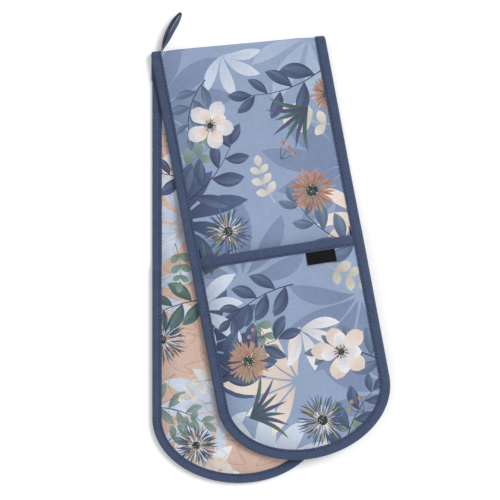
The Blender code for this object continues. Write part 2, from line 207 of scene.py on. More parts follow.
def heights(leg, across, along):
    """Where each sheet and the edge binding lie at spots of a leg."""
    inset = edge_distance(leg, across, along)
    rise = (inset - SEAM_INSET) / (CROWN_INSET - SEAM_INSET)
    crown, full = smooth(rise), bulge(rise)
    past = along - mouth_of(leg) - across * leg.mouth_slope
    seam = smooth(past / SEAM_RAMP + 1)
    lift = POCKET_LIFT * smooth(past / RISE_RUN + 1)
    swell = bulge((past - SEAM_INSET) / (SWELL_RUN - SEAM_INSET))
    panel = mix(POCKET_AT_EDGE, POCKET, swell)
    low = bed(leg, across, along)
    bound_high = low + 2 * STAND + STRIP_AT_EDGE + SEAM_LIFT * seam
    above, below = (sag(leg, across, along, inset, start) for start in (HIGH_START, LOW_START))
    mouth = sag(leg, across, along, np.minimum(inset, past), MOUTH_START)
    if leg.on_top:
        edge = low + STAND + STRIP_AT_EDGE
        room = low + STRIP + HAND_ROOM
        return Heights(
            low + mix(STAND, 0, crown) + below,
            mix(edge, low + STRIP, full) - above,
            mix(edge + EDGE_EASE, room, crown),
            mix(edge + EDGE_EASE + POCKET_AT_EDGE, room + panel, full) - mouth,
            low,
            bound_high,
        )
    edge = STAND + SEAM_LIFT * seam
    floor = STAND * (1 - swell)
    return Heights(
        mix(edge, lift, crown) + below,
        mix(edge + STRIP_AT_EDGE, lift + STRIP, full) - above,
        mix(STAND, floor, full) + mouth * FLAT_SHARE,
        mix(STAND + POCKET_AT_EDGE, floor + panel, crown),
        low,
        bound_high,
    )


# The printed cloth. Its drawing is painted here leaf by leaf on a flat cut of cloth: each leaf
# is an outline with a tone at its root and one at its tip, and later leaves cover earlier ones.
# Plain numbers in the motifs are shares of a size or a spacing, turns in radians, counts, or the
# shape of a leaf.
LEAF_STEPS = 9
STROKE_STEPS = 5
DISC_STEPS = 10
STEM_WIDTH = 0.0012
HAIR_WIDTH = 0.0005
WASH_TURN = 0.10
WASH_LIGHT = 0.11
Paint = namedtuple("Paint", "outline root_tone tip_tone root tip")

BLUE_GROUND = (149, 166, 195)
PEACH_GROUND = (214, 184, 170)
SHADOW = ((121, 137, 168), (131, 147, 178))
PALE_SHADOW = ((165, 181, 208), (176, 191, 216))
NAVY = ((60, 69, 96), (86, 103, 136))
SLATE = ((78, 96, 124), (106, 127, 154))
INK = (44, 52, 70)
CREAM = ((200, 196, 188), (226, 222, 214))
STONE = ((184, 179, 170), (206, 202, 193))
SAGE = ((108, 132, 125), (144, 163, 154))
FOREST = ((62, 86, 88), (98, 124, 119))
VIOLET = ((72, 70, 104), (100, 100, 138))
MIST = ((186, 198, 220), (214, 222, 236))
CHALK = ((206, 206, 214), (238, 238, 240))
CORAL = ((148, 106, 94), (196, 158, 144))
RUST = ((134, 94, 84), (176, 130, 114))
BLUSH = ((218, 200, 190), (240, 229, 220))
TEAL = ((36, 56, 76), (74, 108, 128))
OCHRE = ((134, 118, 92), (180, 164, 132))
SEED = (40, 48, 48)


def spine(root, turn, length, bend, shares):
    """Points and headings along an evenly bent line."""
    fine = np.linspace(0, 1, 1 + LEAF_STEPS * 4)
    heading = turn + bend * (fine - 0.5)
    steps = np.stack((np.cos(heading), np.sin(heading)), 1) * length / (len(fine) - 1)
    walk = np.asarray(root) + np.cumsum(steps, 0) - steps[0]
    points = np.stack([np.interp(shares, fine, walk[:, axis]) for axis in (0, 1)], 1)
    return points, np.interp(shares, fine, heading)


def leaf(root, turn, length, width, tones, bend=0.0, widest=1.2, blunt=0.85, steps=LEAF_STEPS):
    """A leaf or petal. widest moves its broadest part towards the tip, and blunt rounds its ends."""
    shares = np.linspace(0, 1, steps + 1)
    points, heading = spine(root, turn, length, bend, shares)
    half = width / 2 * np.sin(math.pi * shares**widest).clip(0) ** blunt
    side = np.stack((-np.sin(heading), np.cos(heading)), 1) * half[:, None]
    outline = np.concatenate((points[:1], (points + side)[1:-1], points[-1:], (points - side)[-2:0:-1]))
    return Paint(outline, *tones, points[0], points[-1])


def stem(root, turn, length, tone, bend=0.0, width=STEM_WIDTH):
    shares = np.linspace(0, 1, STROKE_STEPS + 1)
    points, heading = spine(root, turn, length, bend, shares)
    side = np.stack((-np.sin(heading), np.cos(heading)), 1) * (width / 2 * (1 - shares / 2))[:, None]
    outline = np.concatenate((points + side, (points - side)[::-1]))
    return Paint(outline, tone, tone, points[0], points[-1])


def disc(centre, radius, tones):
    turn = np.linspace(0, 2 * math.pi, DISC_STEPS, endpoint=False)
    outline = np.asarray(centre) + radius * np.stack((np.cos(turn), np.sin(turn)), 1)
    return Paint(outline, *tones, outline[0], outline[DISC_STEPS // 2])


def moved_out(centre, turn, reach):
    return np.asarray(centre) + reach * np.array((math.cos(turn), math.sin(turn)))


def brushed(root, turn, length, width, tones, bend):
    """A leaf with one half paler and a vein down its middle."""
    paler = tuple(tuple(mix(np.array(tone), np.array(CHALK[1]), WASH_LIGHT)) for tone in tones)
    wash = leaf(root, turn + WASH_TURN, length * 0.92, width * 0.42, paler, bend, 1.1)
    vein = stem(root, turn - 0.075 * bend, length * 0.85, tones[0], bend * 0.85, HAIR_WIDTH)
    return [leaf(root, turn, length, width, tones, bend, 1.1), wash, vein]


def bough(root, turn, size, tones, bend, draw):
    """A bent stem with leaves on alternate sides, smaller towards its tip."""
    paints = [stem(root, turn, size, INK, bend)]
    leaves = 7
    shares = (np.arange(leaves) + 0.8) / leaves
    points, heading = spine(root, turn, size, bend, shares)
    for number, (point, way) in enumerate(zip(points, heading)):
        side = 1 if number % 2 else -1
        long = size * mix(0.48, 0.27, shares[number]) * draw.uniform(0.85, 1.1)
        wide = long * draw.uniform(0.36, 0.46)
        paints += brushed(point, way + side * draw.uniform(0.7, 1.0), long, wide, tones, -side * 0.5)
    top, way = spine(root, turn, size, bend, [1.0])
    return paints + brushed(top[0], way[0], size * 0.28, size * 0.12, tones, 0.2)


def palm(root, turn, size, tones, bend, draw):
    """Broad plain leaves that fan out from one point."""
    paints = []
    leaves, fan = draw.choice((5, 6)), draw.uniform(2.2, 2.8)
    for number in range(leaves):
        share = number / (leaves - 1) - 0.5
        way = turn + fan * share
        long = size * (1 - 0.8 * share * share) * draw.uniform(0.82, 1.0)
        wide = long * draw.uniform(0.23, 0.29)
        start = moved_out(root, way, size * 0.07)
        paints.append(leaf(start, way, long, wide, tones, bend * (1 + 2 * share), 1.25))
    return paints


def wing(root, turn, size, tones, bend, draw):
    """Long curved petals side by side, with faint veins."""
    paints = []
    for aside in (-1.1, 1.0, -0.5, 0.3):
        long = size * draw.uniform(0.78, 1.0)
        way = turn + aside
        paints.append(leaf(root, way, long, long * 0.27, tones, bend, 1.3))
        for apart in (-0.05, 0.05):
            start = moved_out(root, way - bend / 2, long * 0.12)
            paints.append(stem(start, way + apart, long * 0.6, tones[0], bend * 0.7, HAIR_WIDTH))
    return paints


def sprig(root, turn, size, tones, bend, draw):
    """A thin stem with pairs of rounded leaves and one at its tip."""
    paints = [stem(root, turn, size, tones[0], bend, HAIR_WIDTH * 2)]
    pairs = 3
    shares = (np.arange(pairs) + 1) / (pairs + 0.6)
    points, heading = spine(root, turn, size, bend, shares)
    for point, way, share in zip(points, heading, shares):
        for side in (-1, 1):
            long = size * mix(0.36, 0.26, share) * draw.uniform(0.85, 1.1)
            paints.append(leaf(point, way + side * 0.95, long, long * 0.6, tones, side * 0.3, 1.15, 0.7))
    top, way = spine(root, turn, size, bend, [1.0])
    paints.append(leaf(top[0], way[0], size * 0.3, size * 0.19, tones, 0.0, 1.1, 0.7))
    return paints


def blades(root, turn, size, tones, bend, draw):
    """A tuft of strap leaves of two tones by turns."""
    paints = []
    for number in range(7):
        aside = number - 3
        long = size * draw.uniform(0.72, 1.0)
        shades = (tones, VIOLET)[number % 2]
        way = turn + aside * 0.3
        paints.append(leaf(root, way, long, size * 0.085, shades, aside * 0.22 + bend, 0.9))
        paints.append(stem(root, way, long * 0.85, shades[0], aside * 0.2 + bend, HAIR_WIDTH))
    return paints


def berries(root, turn, size, tones, bend, draw):
    """Short stalks, each with a round berry."""
    paints = []
    for aside in (-0.6, -0.1, 0.5):
        long = size * draw.uniform(0.8, 1.0)
        paints.append(stem(root, turn + aside, long, INK, bend - aside, HAIR_WIDTH * 1.4))
        tip = spine(root, turn + aside, long, bend - aside, [1.0])[0][0]
        paints.append(disc(tip, size * 0.14, tones))
    return paints


def ring_of(centre, count, first, reach, wide, shades, draw, bend=0.4):
    """Brush strokes that point outwards all round a middle."""
    paints = []
    for number in range(count):
        turn = 2 * math.pi * (number + draw.uniform(-0.4, 0.4)) / count
        root = moved_out(centre, turn, first)
        long = (reach - first) * draw.uniform(0.78, 1.05)
        tones = draw.choice(shades)
        bent = draw.uniform(-bend, bend)
        broad = wide * draw.uniform(0.8, 1.25)
        paints.append(leaf(root, turn, long, broad, tones, bent, 1.4, 0.8, STROKE_STEPS))
    return paints


def rings_of(centre, size, rings, draw, bend=0.4):
    """Rings of strokes: how many, from where to where, how wide and in which tones."""
    paints = []
    for count, first, reach, wide, shades in rings:
        paints += ring_of(centre, count, size * first, size * reach, size * wide, shades, draw, bend)
    return paints


def seeds(centre, radius, count, draw):
    """A dark middle dotted with seeds."""
    paints = [disc(centre, radius, (SEED, SEED))]
    for number in range(count):
        spot = moved_out(centre, number * 2.4, radius * math.sqrt((number + 0.5) / count))
        shade = draw.choice((OCHRE[1], FOREST[0], FOREST[1], CREAM[0]))
        paints.append(disc(spot, radius * 0.13, (shade, shade)))
    return paints


def gerbera(centre, turn, size, tones, inner_tones, draw):
    """Rings of slim petals round a seeded middle."""
    rings = (
        (30, 0.2, 1, 0.1, (tones, tones, inner_tones)),
        (26, 0.18, 0.82, 0.09, (tones, inner_tones)),
        (24, 0.16, 0.6, 0.06, (tones, OCHRE)),
    )
    return rings_of(centre, size, rings, draw) + seeds(centre, size * 0.24, 22, draw)


def anemone(centre, turn, size, tones, inner_tones, draw):
    """Broad overlapping petals with fine veins round a dark eye."""
    paints = []
    for petals, reach, shades, start in ((5, 1.0, tones, 0.2), (4, 0.72, inner_tones, 0.7)):
        for number in range(petals):
            way = turn + 2 * math.pi * (number + start + draw.uniform(-0.12, 0.12)) / petals
            root = moved_out(centre, way, size * 0.05)
            long, wide = size * reach * draw.uniform(0.86, 1.05), size * reach * 0.62
            paints.append(leaf(root, way, long, wide, shades, draw.uniform(-0.4, 0.4), 1.5, 0.66))
            for aside in (-0.2, -0.07, 0.07, 0.2):
                paints.append(stem(root, way + aside, long * 0.6, shades[0], -aside, HAIR_WIDTH))
    paints += ring_of(centre, 22, size * 0.08, size * 0.3, HAIR_WIDTH * 1.6, ((INK, OCHRE[0]),), draw)
    return paints + seeds(centre, size * 0.13, 9, draw)


def cornflower(centre, turn, size, tones, inner_tones, draw):
    """Ragged strokes, dark outside and pale inside, round a seeded middle."""
    rings = (
        (40, 0.2, 1, 0.055, (tones, NAVY, SLATE, tones)),
        (34, 0.18, 0.84, 0.05, (tones, SLATE, inner_tones)),
        (26, 0.16, 0.62, 0.04, (MIST, inner_tones, NAVY)),
        (20, 0.12, 0.42, 0.035, (CHALK, inner_tones)),
    )
    return rings_of(centre, size, rings, draw, bend=0.7) + seeds(centre, size * 0.19, 16, draw)


def drawing(layout, start, moves):
    """The motifs of a layout, drawn once for each move. last is a bend, or a flower's inner tones."""
    paints = []
    for move in moves:
        draw = random.Random(start)
        for motif, across, along, heading, size, tones, last in layout:
            paints += motif((across, along + move), math.radians(heading), size, tones, last, draw)
    return paints


BLUE_LAYOUT = (
    (palm, -0.098, 0.046, 18, 0.094, SHADOW, 0.4),
    (palm, 0.074, 0.002, 128, 0.078, PALE_SHADOW, -0.4),
    (palm, 0.098, 0.140, 184, 0.100, SHADOW, 0.4),
    (palm, -0.040, 0.238, -84, 0.094, SHADOW, -0.4),
    (palm, -0.100, 0.168, -8, 0.080, NAVY, 0.5),
    (palm, 0.078, 0.276, 132, 0.094, SHADOW, 0.4),
    (palm, -0.100, 0.300, 12, 0.088, NAVY, -0.4),
    (palm, 0.102, 0.380, 176, 0.100, SHADOW, 0.5),
    (palm, -0.058, 0.456, -62, 0.094, MIST, 0.4),
    (palm, -0.004, 0.352, 204, 0.076, BLUSH, 0.4),
    (wing, 0.092, 0.196, 208, 0.056, BLUSH, -0.6),
    (wing, -0.092, 0.262, 28, 0.058, MIST, 0.6),
    (wing, 0.008, 0.300, 62, 0.052, CHALK, 0.6),
    (wing, -0.018, 0.004, 66, 0.052, MIST, -0.6),
    (wing, 0.030, 0.452, -118, 0.060, BLUSH, 0.6),
    (wing, -0.096, 0.404, -14, 0.052, MIST, 0.5),
    (sprig, 0.090, 0.098, 205, 0.056, CREAM, 0.6),
    (sprig, -0.090, 0.112, -24, 0.052, SAGE, -0.6),
    (sprig, 0.008, 0.166, -104, 0.042, CREAM, 0.5),
    (sprig, 0.046, 0.236, 34, 0.050, STONE, -0.5),
    (sprig, -0.040, 0.276, 70, 0.044, SAGE, 0.6),
    (sprig, 0.086, 0.440, 214, 0.054, SAGE, -0.5),
    (bough, 0.094, 0.030, 166, 0.094, NAVY, 0.8),
    (bough, -0.094, 0.152, -38, 0.088, NAVY, -0.7),
    (bough, 0.088, 0.228, -136, 0.082, SLATE, 0.8),
    (bough, -0.040, 0.026, 118, 0.062, SLATE, -0.9),
    (bough, -0.096, 0.350, -30, 0.094, NAVY, 0.7),
    (bough, 0.090, 0.352, 204, 0.070, SLATE, -0.8),
    (bough, 0.030, 0.440, -58, 0.078, NAVY, 0.8),
    (bough, 0.010, 0.252, 162, 0.074, NAVY, -0.6),
    (blades, 0.060, 0.074, 152, 0.052, FOREST, 0.0),
    (blades, -0.060, 0.380, -14, 0.050, FOREST, 0.1),
    (blades, -0.078, 0.226, -66, 0.044, FOREST, 0.0),
    (berries, 0.022, 0.122, -40, 0.018, CORAL, 0.0),
    (berries, 0.058, 0.396, -124, 0.018, OCHRE, 0.0),
    (berries, -0.030, 0.300, 196, 0.016, CORAL, 0.0),
    (anemone, -0.044, 0.074, 0, 0.027, CHALK[::-1], BLUSH),
    (gerbera, 0.048, 0.160, 0, 0.026, CORAL, RUST),
    (cornflower, -0.046, 0.186, 0, 0.027, TEAL, OCHRE),
    (gerbera, 0.082, 0.064, 0, 0.020, RUST, CORAL),
    (gerbera, -0.050, 0.322, 0, 0.024, CORAL, OCHRE),
    (anemone, 0.046, 0.330, 30, 0.029, BLUSH[::-1], CHALK),
    (cornflower, 0.014, 0.396, 0, 0.029, TEAL, OCHRE),
    (anemone, -0.068, 0.430, 50, 0.022, BLUSH, CHALK),
)
PEACH_LAYOUT = (
    (palm, -0.102, 0.066, -34, 0.086, MIST, 0.4),
    (palm, -0.046, 0.184, 206, 0.074, MIST, 0.5),
    (palm, 0.064, 0.130, 58, 0.084, SHADOW, 0.4),
    (palm, -0.104, 0.250, 24, 0.080, MIST, -0.4),
    (palm, 0.022, 0.300, -104, 0.080, SHADOW, 0.5),
    (palm, -0.016, 0.376, 164, 0.070, MIST, -0.4),
    (palm, 0.082, 0.362, 192, 0.080, MIST, 0.4),
    (palm, -0.040, 0.462, -100, 0.064, CHALK, 0.4),
    (palm, 0.032, 0.026, 122, 0.072, MIST, 0.4),
    (wing, -0.036, 0.424, 96, 0.048, BLUSH, 0.6),
    (wing, 0.058, 0.246, 28, 0.052, BLUSH, -0.6),
    (wing, -0.088, 0.140, -66, 0.050, CHALK, 0.6),
    (bough, -0.036, 0.132, 188, 0.066, NAVY, 0.7),
    (bough, -0.030, 0.262, 162, 0.072, FOREST, -0.6),
    (bough, 0.082, 0.216, -162, 0.080, NAVY, 0.6),
    (bough, -0.098, 0.376, 12, 0.064, SAGE, 0.8),
    (bough, 0.052, 0.424, -112, 0.076, FOREST, 0.7),
    (bough, -0.078, 0.018, 64, 0.066, NAVY, -0.6),
    (sprig, -0.066, 0.204, 82, 0.040, SAGE, 0.5),
    (sprig, -0.024, 0.330, 132, 0.042, CREAM, 0.5),
    (sprig, 0.042, 0.208, -64, 0.048, SAGE, 0.5),
    (sprig, -0.078, 0.412, -40, 0.038, SAGE, -0.5),
    (sprig, 0.072, 0.058, 164, 0.048, CREAM, 0.4),
    (cornflower, -0.080, 0.304, 0, 0.028, TEAL, OCHRE),
    (gerbera, -0.058, 0.088, 0, 0.022, RUST, CORAL),
    (anemone, 0.014, 0.172, 10, 0.028, CHALK, MIST),
    (cornflower, 0.060, 0.300, 0, 0.028, TEAL, OCHRE),
    (cornflower, -0.044, 0.414, 0, 0.024, TEAL, OCHRE),
    (anemone, 0.000, 0.060, 40, 0.026, CHALK, BLUSH),
)


# The outer cloth of the strip and of the pockets: thin printed cotton in a plain weave, laid over
# wadding and caught under the binding all round. It is cut here along its outline and its drawing,
# so that every printed edge is crisp, and it dips a little where it is sewn.
FUSE = 0.0000001
BACK_SHARE = 3
SIDE_STEPS = 170
TOE_STEPS = 100
CROSS_STEPS = 60
GRID = 0.0036
GRID_INSET = 0.021
SHEET_INSETS = (0.0065, 0.0098, 0.0108, 0.0120, 0.0138, 0.0162, 0.0192)
MARK_CLEARANCE = 0.0012
SHARP_EDGE = math.radians(40)
BLUE_REPEAT = 0.470
BLUE_START = 11
FOLD_RADIUS = STRIP + SEAM_GAP / 2
FOLD_ARC = math.pi * FOLD_RADIUS


def edge_line(leg, inset, first, slope):
    """Spots so far in from the edge, down the left side, round the toe and up the right side."""
    reach, toe = HALF_WIDTH - inset, leg.length - TOE_DEPTH
    down = np.linspace(first - reach * slope, toe, SIDE_STEPS)
    up = np.linspace(toe, first + reach * slope, SIDE_STEPS)
    turn = np.linspace(-math.pi / 2, math.pi / 2, TOE_STEPS)
    outward = np.stack((np.sin(turn) / HALF_WIDTH, np.cos(turn) / TOE_DEPTH), 1)
    outward /= np.linalg.norm(outward, axis=1)[:, None]
    rim = np.stack((HALF_WIDTH * np.sin(turn), toe + TOE_DEPTH * np.cos(turn)), 1) - inset * outward
    left = np.stack((np.full(SIDE_STEPS, -reach), down), 1)
    right = np.stack((np.full(SIDE_STEPS, reach), up), 1)
    return np.concatenate((left[:-1], rim, right[1:]))


def panel_outline(leg, first, slope):
    """The cut edge of a panel that starts so far down the leg, closed by a line across it."""
    around = edge_line(leg, LAYER_INSET, first, slope)
    across = np.linspace(around[-1, 0], around[0, 0], CROSS_STEPS + 1)[1:-1]
    return np.concatenate((around, np.stack((across, first + across * slope), 1)))


def panel_marks(leg, first, slope, grid):
    """Spots inside a panel: lines beside its edge and an even net of spots in its middle."""
    rows = [edge_line(leg, inset, first, slope) for inset in SHEET_INSETS]
    across = np.arange(-HALF_WIDTH, HALF_WIDTH, grid)
    for number, along in enumerate(np.arange(0, leg.length, grid * math.sqrt(3) / 2)):
        rows.append(np.stack((across + number % 2 * grid / 2, np.full(len(across), along)), 1))
    inner = np.concatenate(rows[len(SHEET_INSETS):])
    inner = inner[edge_distance(leg, inner[:, 0], inner[:, 1]) > GRID_INSET]
    marks = np.concatenate((*rows[:len(SHEET_INSETS)], inner))
    return marks[marks[:, 1] > first + marks[:, 0] * slope + MARK_CLEARANCE]


def inside(spots, outline):
    """Which spots lie inside an outline."""
    x, y = spots.T[:, :, None]
    (x0, y0), (x1, y1) = outline.T, np.roll(outline, -1, 0).T
    level = (y0 > y) != (y1 > y)
    rise = np.where(y1 == y0, 1, y1 - y0)
    return (level & (x < x0 + (x1 - x0) * (y - y0) / rise)).sum(1) % 2 == 1


def cut_out(outline, marks, paints):
    """Triangles of a panel that keep to its outline and to the drawing on it. Each has the number
    of the paint that lies uppermost, 0 for bare cloth."""
    shapes = [outline, *(paint.outline for paint in paints)]
    edges, total = [], 0
    for shape in shapes:
        ring = list(range(total, total + len(shape)))
        edges += list(zip(ring, ring[1:] + ring[:1]))
        total += len(shape)
    spots = [Vector(spot) for spot in np.concatenate((*shapes, marks)).tolist()]
    cut = delaunay_2d_cdt(spots, edges, [], 0, FUSE)
    points, triangles = np.array(cut[0]), np.array(cut[2])
    middles = points[triangles].mean(1)
    kept = inside(middles, outline)
    triangles, middles = triangles[kept], middles[kept]
    uppermost = np.zeros(len(triangles), dtype=int)
    for number, paint in enumerate(paints, 1):
        low, high = paint.outline.min(0), paint.outline.max(0)
        near = np.flatnonzero(((middles > low) & (middles < high)).all(1))
        uppermost[near[inside(middles[near], paint.outline)]] = number
    return points, triangles, uppermost


def border(triangles):
    """The corners round a panel in their order."""
    ways = {(a, b) for one in triangles.tolist() for a, b in zip(one, one[1:] + one[:1])}
    following = {a: b for a, b in ways if (b, a) not in ways}
    start = min(following)
    loop = [start]
    while following[loop[-1]] != start:
        loop.append(following[loop[-1]])
    return np.array(loop)


def only_used(spots, triangles):
    used = np.unique(triangles)
    renumbered = np.full(len(spots), -1)
    renumbered[used] = np.arange(len(used))
    return spots[used], renumbered[triangles]


def linear(colour):
    share = np.asarray(colour, dtype=float) / 255
    return np.where(share <= 0.04045, share / 12.92, ((share + 0.055) / 1.055) ** 2.4)


def dyed(spots, triangles, uppermost, paints, ground):
    """The colour at each corner of each triangle, from root to tip of the leaf that covers it."""
    colours = np.empty((len(triangles), 3, 3))
    colours[:] = ground
    for number in np.unique(uppermost[uppermost > 0]):
        paint, mine = paints[number - 1], uppermost == number
        line = paint.tip - paint.root
        share = ((spots[triangles[mine]] - paint.root) @ line / (line @ line + FUSE * FUSE)).clip(0, 1)
        colours[mine] = mix(np.array(paint.root_tone), np.array(paint.tip_tone), share[..., None])
    return linear(colours).reshape(-1, 3)


def sheet(name, outline, marks, paints, ground, face, back, flip):
    """A closed sheet of cloth. face and back turn spots of the panel into points in space."""
    spots, triangles, uppermost = cut_out(outline, marks, paints)
    spots, triangles = only_used(spots, triangles)
    rim = border(triangles)
    plain = marks[::BACK_SHARE]
    back_spots, back_triangles, _ = cut_out(spots[rim], plain, [])
    back_spots, back_triangles = only_used(back_spots, back_triangles)
    back_rim = np.abs(back_spots[:, None] - spots[rim]).sum(2).argmin(0) + len(spots)
    ahead, back_ahead = np.roll(rim, -1), np.roll(back_rim, -1)
    walls = np.concatenate((
        np.stack((rim, back_rim, ahead), 1),
        np.stack((ahead, back_rim, back_ahead), 1),
    ))
    corners = np.concatenate((triangles, back_triangles[:, ::-1] + len(spots), walls))
    points = np.concatenate((face(spots), back(back_spots)))
    cloth_spots = np.concatenate((spots, back_spots))
    colours = np.empty((len(corners) * 3, 4))
    colours[:, :3] = linear(ground)
    colours[:, 3] = 1
    colours[:len(triangles) * 3, :3] = dyed(spots, triangles, uppermost, paints, ground)
    if flip:
        corners = corners[:, ::-1]
        colours = colours.reshape(-1, 3, 4)[:, ::-1].reshape(-1, 4)
    mesh = bpy.data.meshes.new(name)
    mesh.from_pydata(points.tolist(), [], corners.tolist())
    dye = mesh.attributes.new("dye", "FLOAT_COLOR", "CORNER")
    dye.data.foreach_set("color", colours.ravel())
    grain = mesh.uv_layers.new(name="grain")
    grain.data.foreach_set("uv", cloth_spots[corners.ravel()].ravel())
    mesh.shade_smooth()
    mesh.set_sharp_from_angle(angle=SHARP_EDGE)
    return placed(name, mesh)


def on_leg(leg, side, shift=0):
    """Turns spots of a leg into points on a named side of a layer, or shifted up from it."""
    def points(spots):
        across, along = spots.T
        level = getattr(heights(leg, across, along), side) + shift
        return np.stack((*place(leg, across, along), level), 1)
    return points


def turned_round(paints, start):
    """A drawing that runs on towards the other end of the strip, in that leg's coordinates."""
    turned = []
    for paint in paints:
        outline, root, tip = (np.array(part) for part in (paint.outline, paint.root, paint.tip))
        for part in (outline, root, tip):
            part[..., 1] = start - part[..., 1]
        turned.append(paint._replace(outline=outline, root=root, tip=tip))
    return turned


def within(paints, first, last):
    """The paints that touch a stretch of the cloth."""
    kept = []
    for paint in paints:
        across, along = paint.outline.T
        if along.max() > first and along.min() < last and np.abs(across).min() < HALF_WIDTH:
            kept.append(paint)
    return kept


blue_print = drawing(BLUE_LAYOUT, BLUE_START, (0, -BLUE_REPEAT))
rear_blue = turned_round(blue_print, -FOLD_ARC)
rear_pocket_blue = drawing(BLUE_LAYOUT, BLUE_START, (-BLUE_REPEAT / 2, BLUE_REPEAT / 2))


def panel_of(leg, layer):
    """A leg with where its strip or its pocket starts, and the slope of that edge."""
    if layer == "strip":
        return leg, 0, leg.fold_slope
    return leg, mouth_of(leg) + LAYER_INSET, leg.mouth_slope


def cloth(name, leg, layer, up, paints, ground, grid=GRID):
    """One plain or printed cloth of a leg's strip or pocket, its good side up or down."""
    side, into = (f"{layer}_high", -CLOTH) if up else (f"{layer}_low", CLOTH)
    panel = panel_of(leg, layer)
    last = mouth_of(leg) if layer == "strip" else leg.length
    kept = within(paints, panel[1], last)
    face, back = on_leg(leg, side), on_leg(leg, side, into)
    return sheet(name, panel_outline(*panel), panel_marks(*panel, grid), kept, ground, face, back, up)


front_blue_cloth = cloth("front_blue_cloth", FRONT, "strip", True, blue_print, BLUE_GROUND)
rear_blue_cloth = cloth("rear_blue_cloth", REAR, "strip", False, rear_blue, BLUE_GROUND)
front_pocket_face = cloth("front_pocket_face", FRONT, "pocket", True, blue_print, BLUE_GROUND)
rear_pocket_face = cloth("rear_pocket_face", REAR, "pocket", False, rear_pocket_blue, BLUE_GROUND)


# The finish of the woven cloths: threads that pass over and under each other, a few thicker than
# the rest, and dye that took a little unevenly. The colour also carries painted shade and light of
# the weave: it is made darker where the threads lie low and lighter where they pass over.
THREAD_PITCH = 0.0004
WEAVE_RELIEF = 0.00006
WAVE_AT_ONE = 0.314
SLUB_SCALE = 1300
SLUB_STRETCH = 0.06
SLUB_DETAIL = 2
SLUB_BUMP = 0.6
SLUB_ROUGHNESS = 0.12
BLOT_SCALE = 170
MOTTLE_SCALE = 38
FADE_SCALE = 7
MOTTLE_DETAIL = 4
CLOTH_SHINE = 0.3
CLOTH_SHEEN = 0.08
SHEEN_ROUGHNESS = 0.5
PRINT_ROUGHNESS = 0.82
WADDING_OF = {"strip": "wadding", "pocket": "pocket_wadding"}


def woven(
    name, colour, roughness, turn=0.0, weave=0.14, slub=0.28, mottle=0.12,
    relief=WEAVE_RELIEF, shine=CLOTH_SHINE,
):
    """A plain weave on a piece's own grain. Without a colour it takes the painted dye."""
    finish = bpy.data.materials.new(name)
    finish.use_nodes = True
    nodes, links = finish.node_tree.nodes, finish.node_tree.links
    shader = nodes["Principled BSDF"]

    def maths(first, second, operation, third=0.0):
        made = nodes.new("ShaderNodeMath")
        made.operation = operation
        for socket, value in zip(made.inputs, (first, second, third)):
            if isinstance(value, (int, float)):
                socket.default_value = value
            else:
                links.new(value, socket)
        return made.outputs[0]

    def mapped(vector, setting, value):
        made = nodes.new("ShaderNodeMapping")
        made.inputs[setting].default_value = value
        links.new(vector, made.inputs["Vector"])
        return made.outputs[0]

    def uneven(vector, scale, detail):
        noise = nodes.new("ShaderNodeTexNoise")
        noise.inputs["Scale"].default_value = scale
        noise.inputs["Detail"].default_value = detail
        links.new(vector, noise.inputs["Vector"])
        return maths(noise.outputs["Fac"], 0.5, "SUBTRACT")

    grain = nodes.new("ShaderNodeUVMap")
    grain.uv_map = "grain"
    turned = mapped(grain.outputs[0], "Rotation", (0, 0, turn))
    bands = []
    for direction in ("X", "Y"):
        wave = nodes.new("ShaderNodeTexWave")
        wave.bands_direction = direction
        wave.inputs["Scale"].default_value = WAVE_AT_ONE / (2 * THREAD_PITCH)
        links.new(turned, wave.inputs["Vector"])
        bands.append(maths(wave.outputs["Fac"], 0.5, "SUBTRACT"))
    over = maths(maths(bands[0], bands[1], "MULTIPLY"), 4.0, "MULTIPLY")
    # Painted shade and light of the weave: weave sets how much darker the colour is where threads lie low.
    total = maths(over, weave, "MULTIPLY_ADD", 1.0)
    slubs = [
        uneven(mapped(turned, "Scale", stretch), SLUB_SCALE, SLUB_DETAIL)
        for stretch in ((1, SLUB_STRETCH, 1), (SLUB_STRETCH, 1, 1))
    ]
    threads = maths(slubs[0], slubs[1], "ADD")
    total = maths(threads, slub, "MULTIPLY_ADD", total)
    for scale in (BLOT_SCALE, MOTTLE_SCALE, FADE_SCALE):
        total = maths(uneven(turned, scale, MOTTLE_DETAIL), mottle, "MULTIPLY_ADD", total)
    tinted = nodes.new("ShaderNodeVectorMath")
    tinted.operation = "SCALE"
    links.new(total, tinted.inputs["Scale"])
    if colour is None:
        dye = nodes.new("ShaderNodeVertexColor")
        dye.layer_name = "dye"
        links.new(dye.outputs["Color"], tinted.inputs[0])
    else:
        tinted.inputs[0].default_value = linear(colour)
    links.new(tinted.outputs[0], shader.inputs["Base Color"])
    bump = nodes.new("ShaderNodeBump")
    bump.inputs["Distance"].default_value = relief
    links.new(maths(threads, SLUB_BUMP, "MULTIPLY_ADD", over), bump.inputs["Height"])
    links.new(bump.outputs["Normal"], shader.inputs["Normal"])
    links.new(maths(threads, SLUB_ROUGHNESS, "MULTIPLY_ADD", roughness), shader.inputs["Roughness"])
    shader.inputs["Specular IOR Level"].default_value = shine
    shader.inputs["Sheen Weight"].default_value = CLOTH_SHEEN
    shader.inputs["Sheen Roughness"].default_value = SHEEN_ROUGHNESS
    return finish


def finished(made, finish, body=None, node=None):
    """Gives a piece its finish and ties it to the part."""
    made.data.materials.append(finish)
    if body:
        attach(made, body)
    if node:
        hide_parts(node)


def laid_cloth(made, leg, layer, finish, node):
    finished(made, finish, f"{leg.name}_leg", f"{leg.name}_{node}")
    panel = panel_of(leg, layer)
    x, y = panel_outline(*panel).T


printed_cotton = woven("printed_cotton", None, PRINT_ROUGHNESS)
laid_cloth(rear_blue_cloth, REAR, "strip", printed_cotton, "outer_cloth")
laid_cloth(rear_pocket_face, REAR, "pocket", printed_cotton, "pocket_cloth")
laid_cloth(front_blue_cloth, FRONT, "strip", printed_cotton, "outer_cloth")
laid_cloth(front_pocket_face, FRONT, "pocket", printed_cotton, "pocket_cloth")


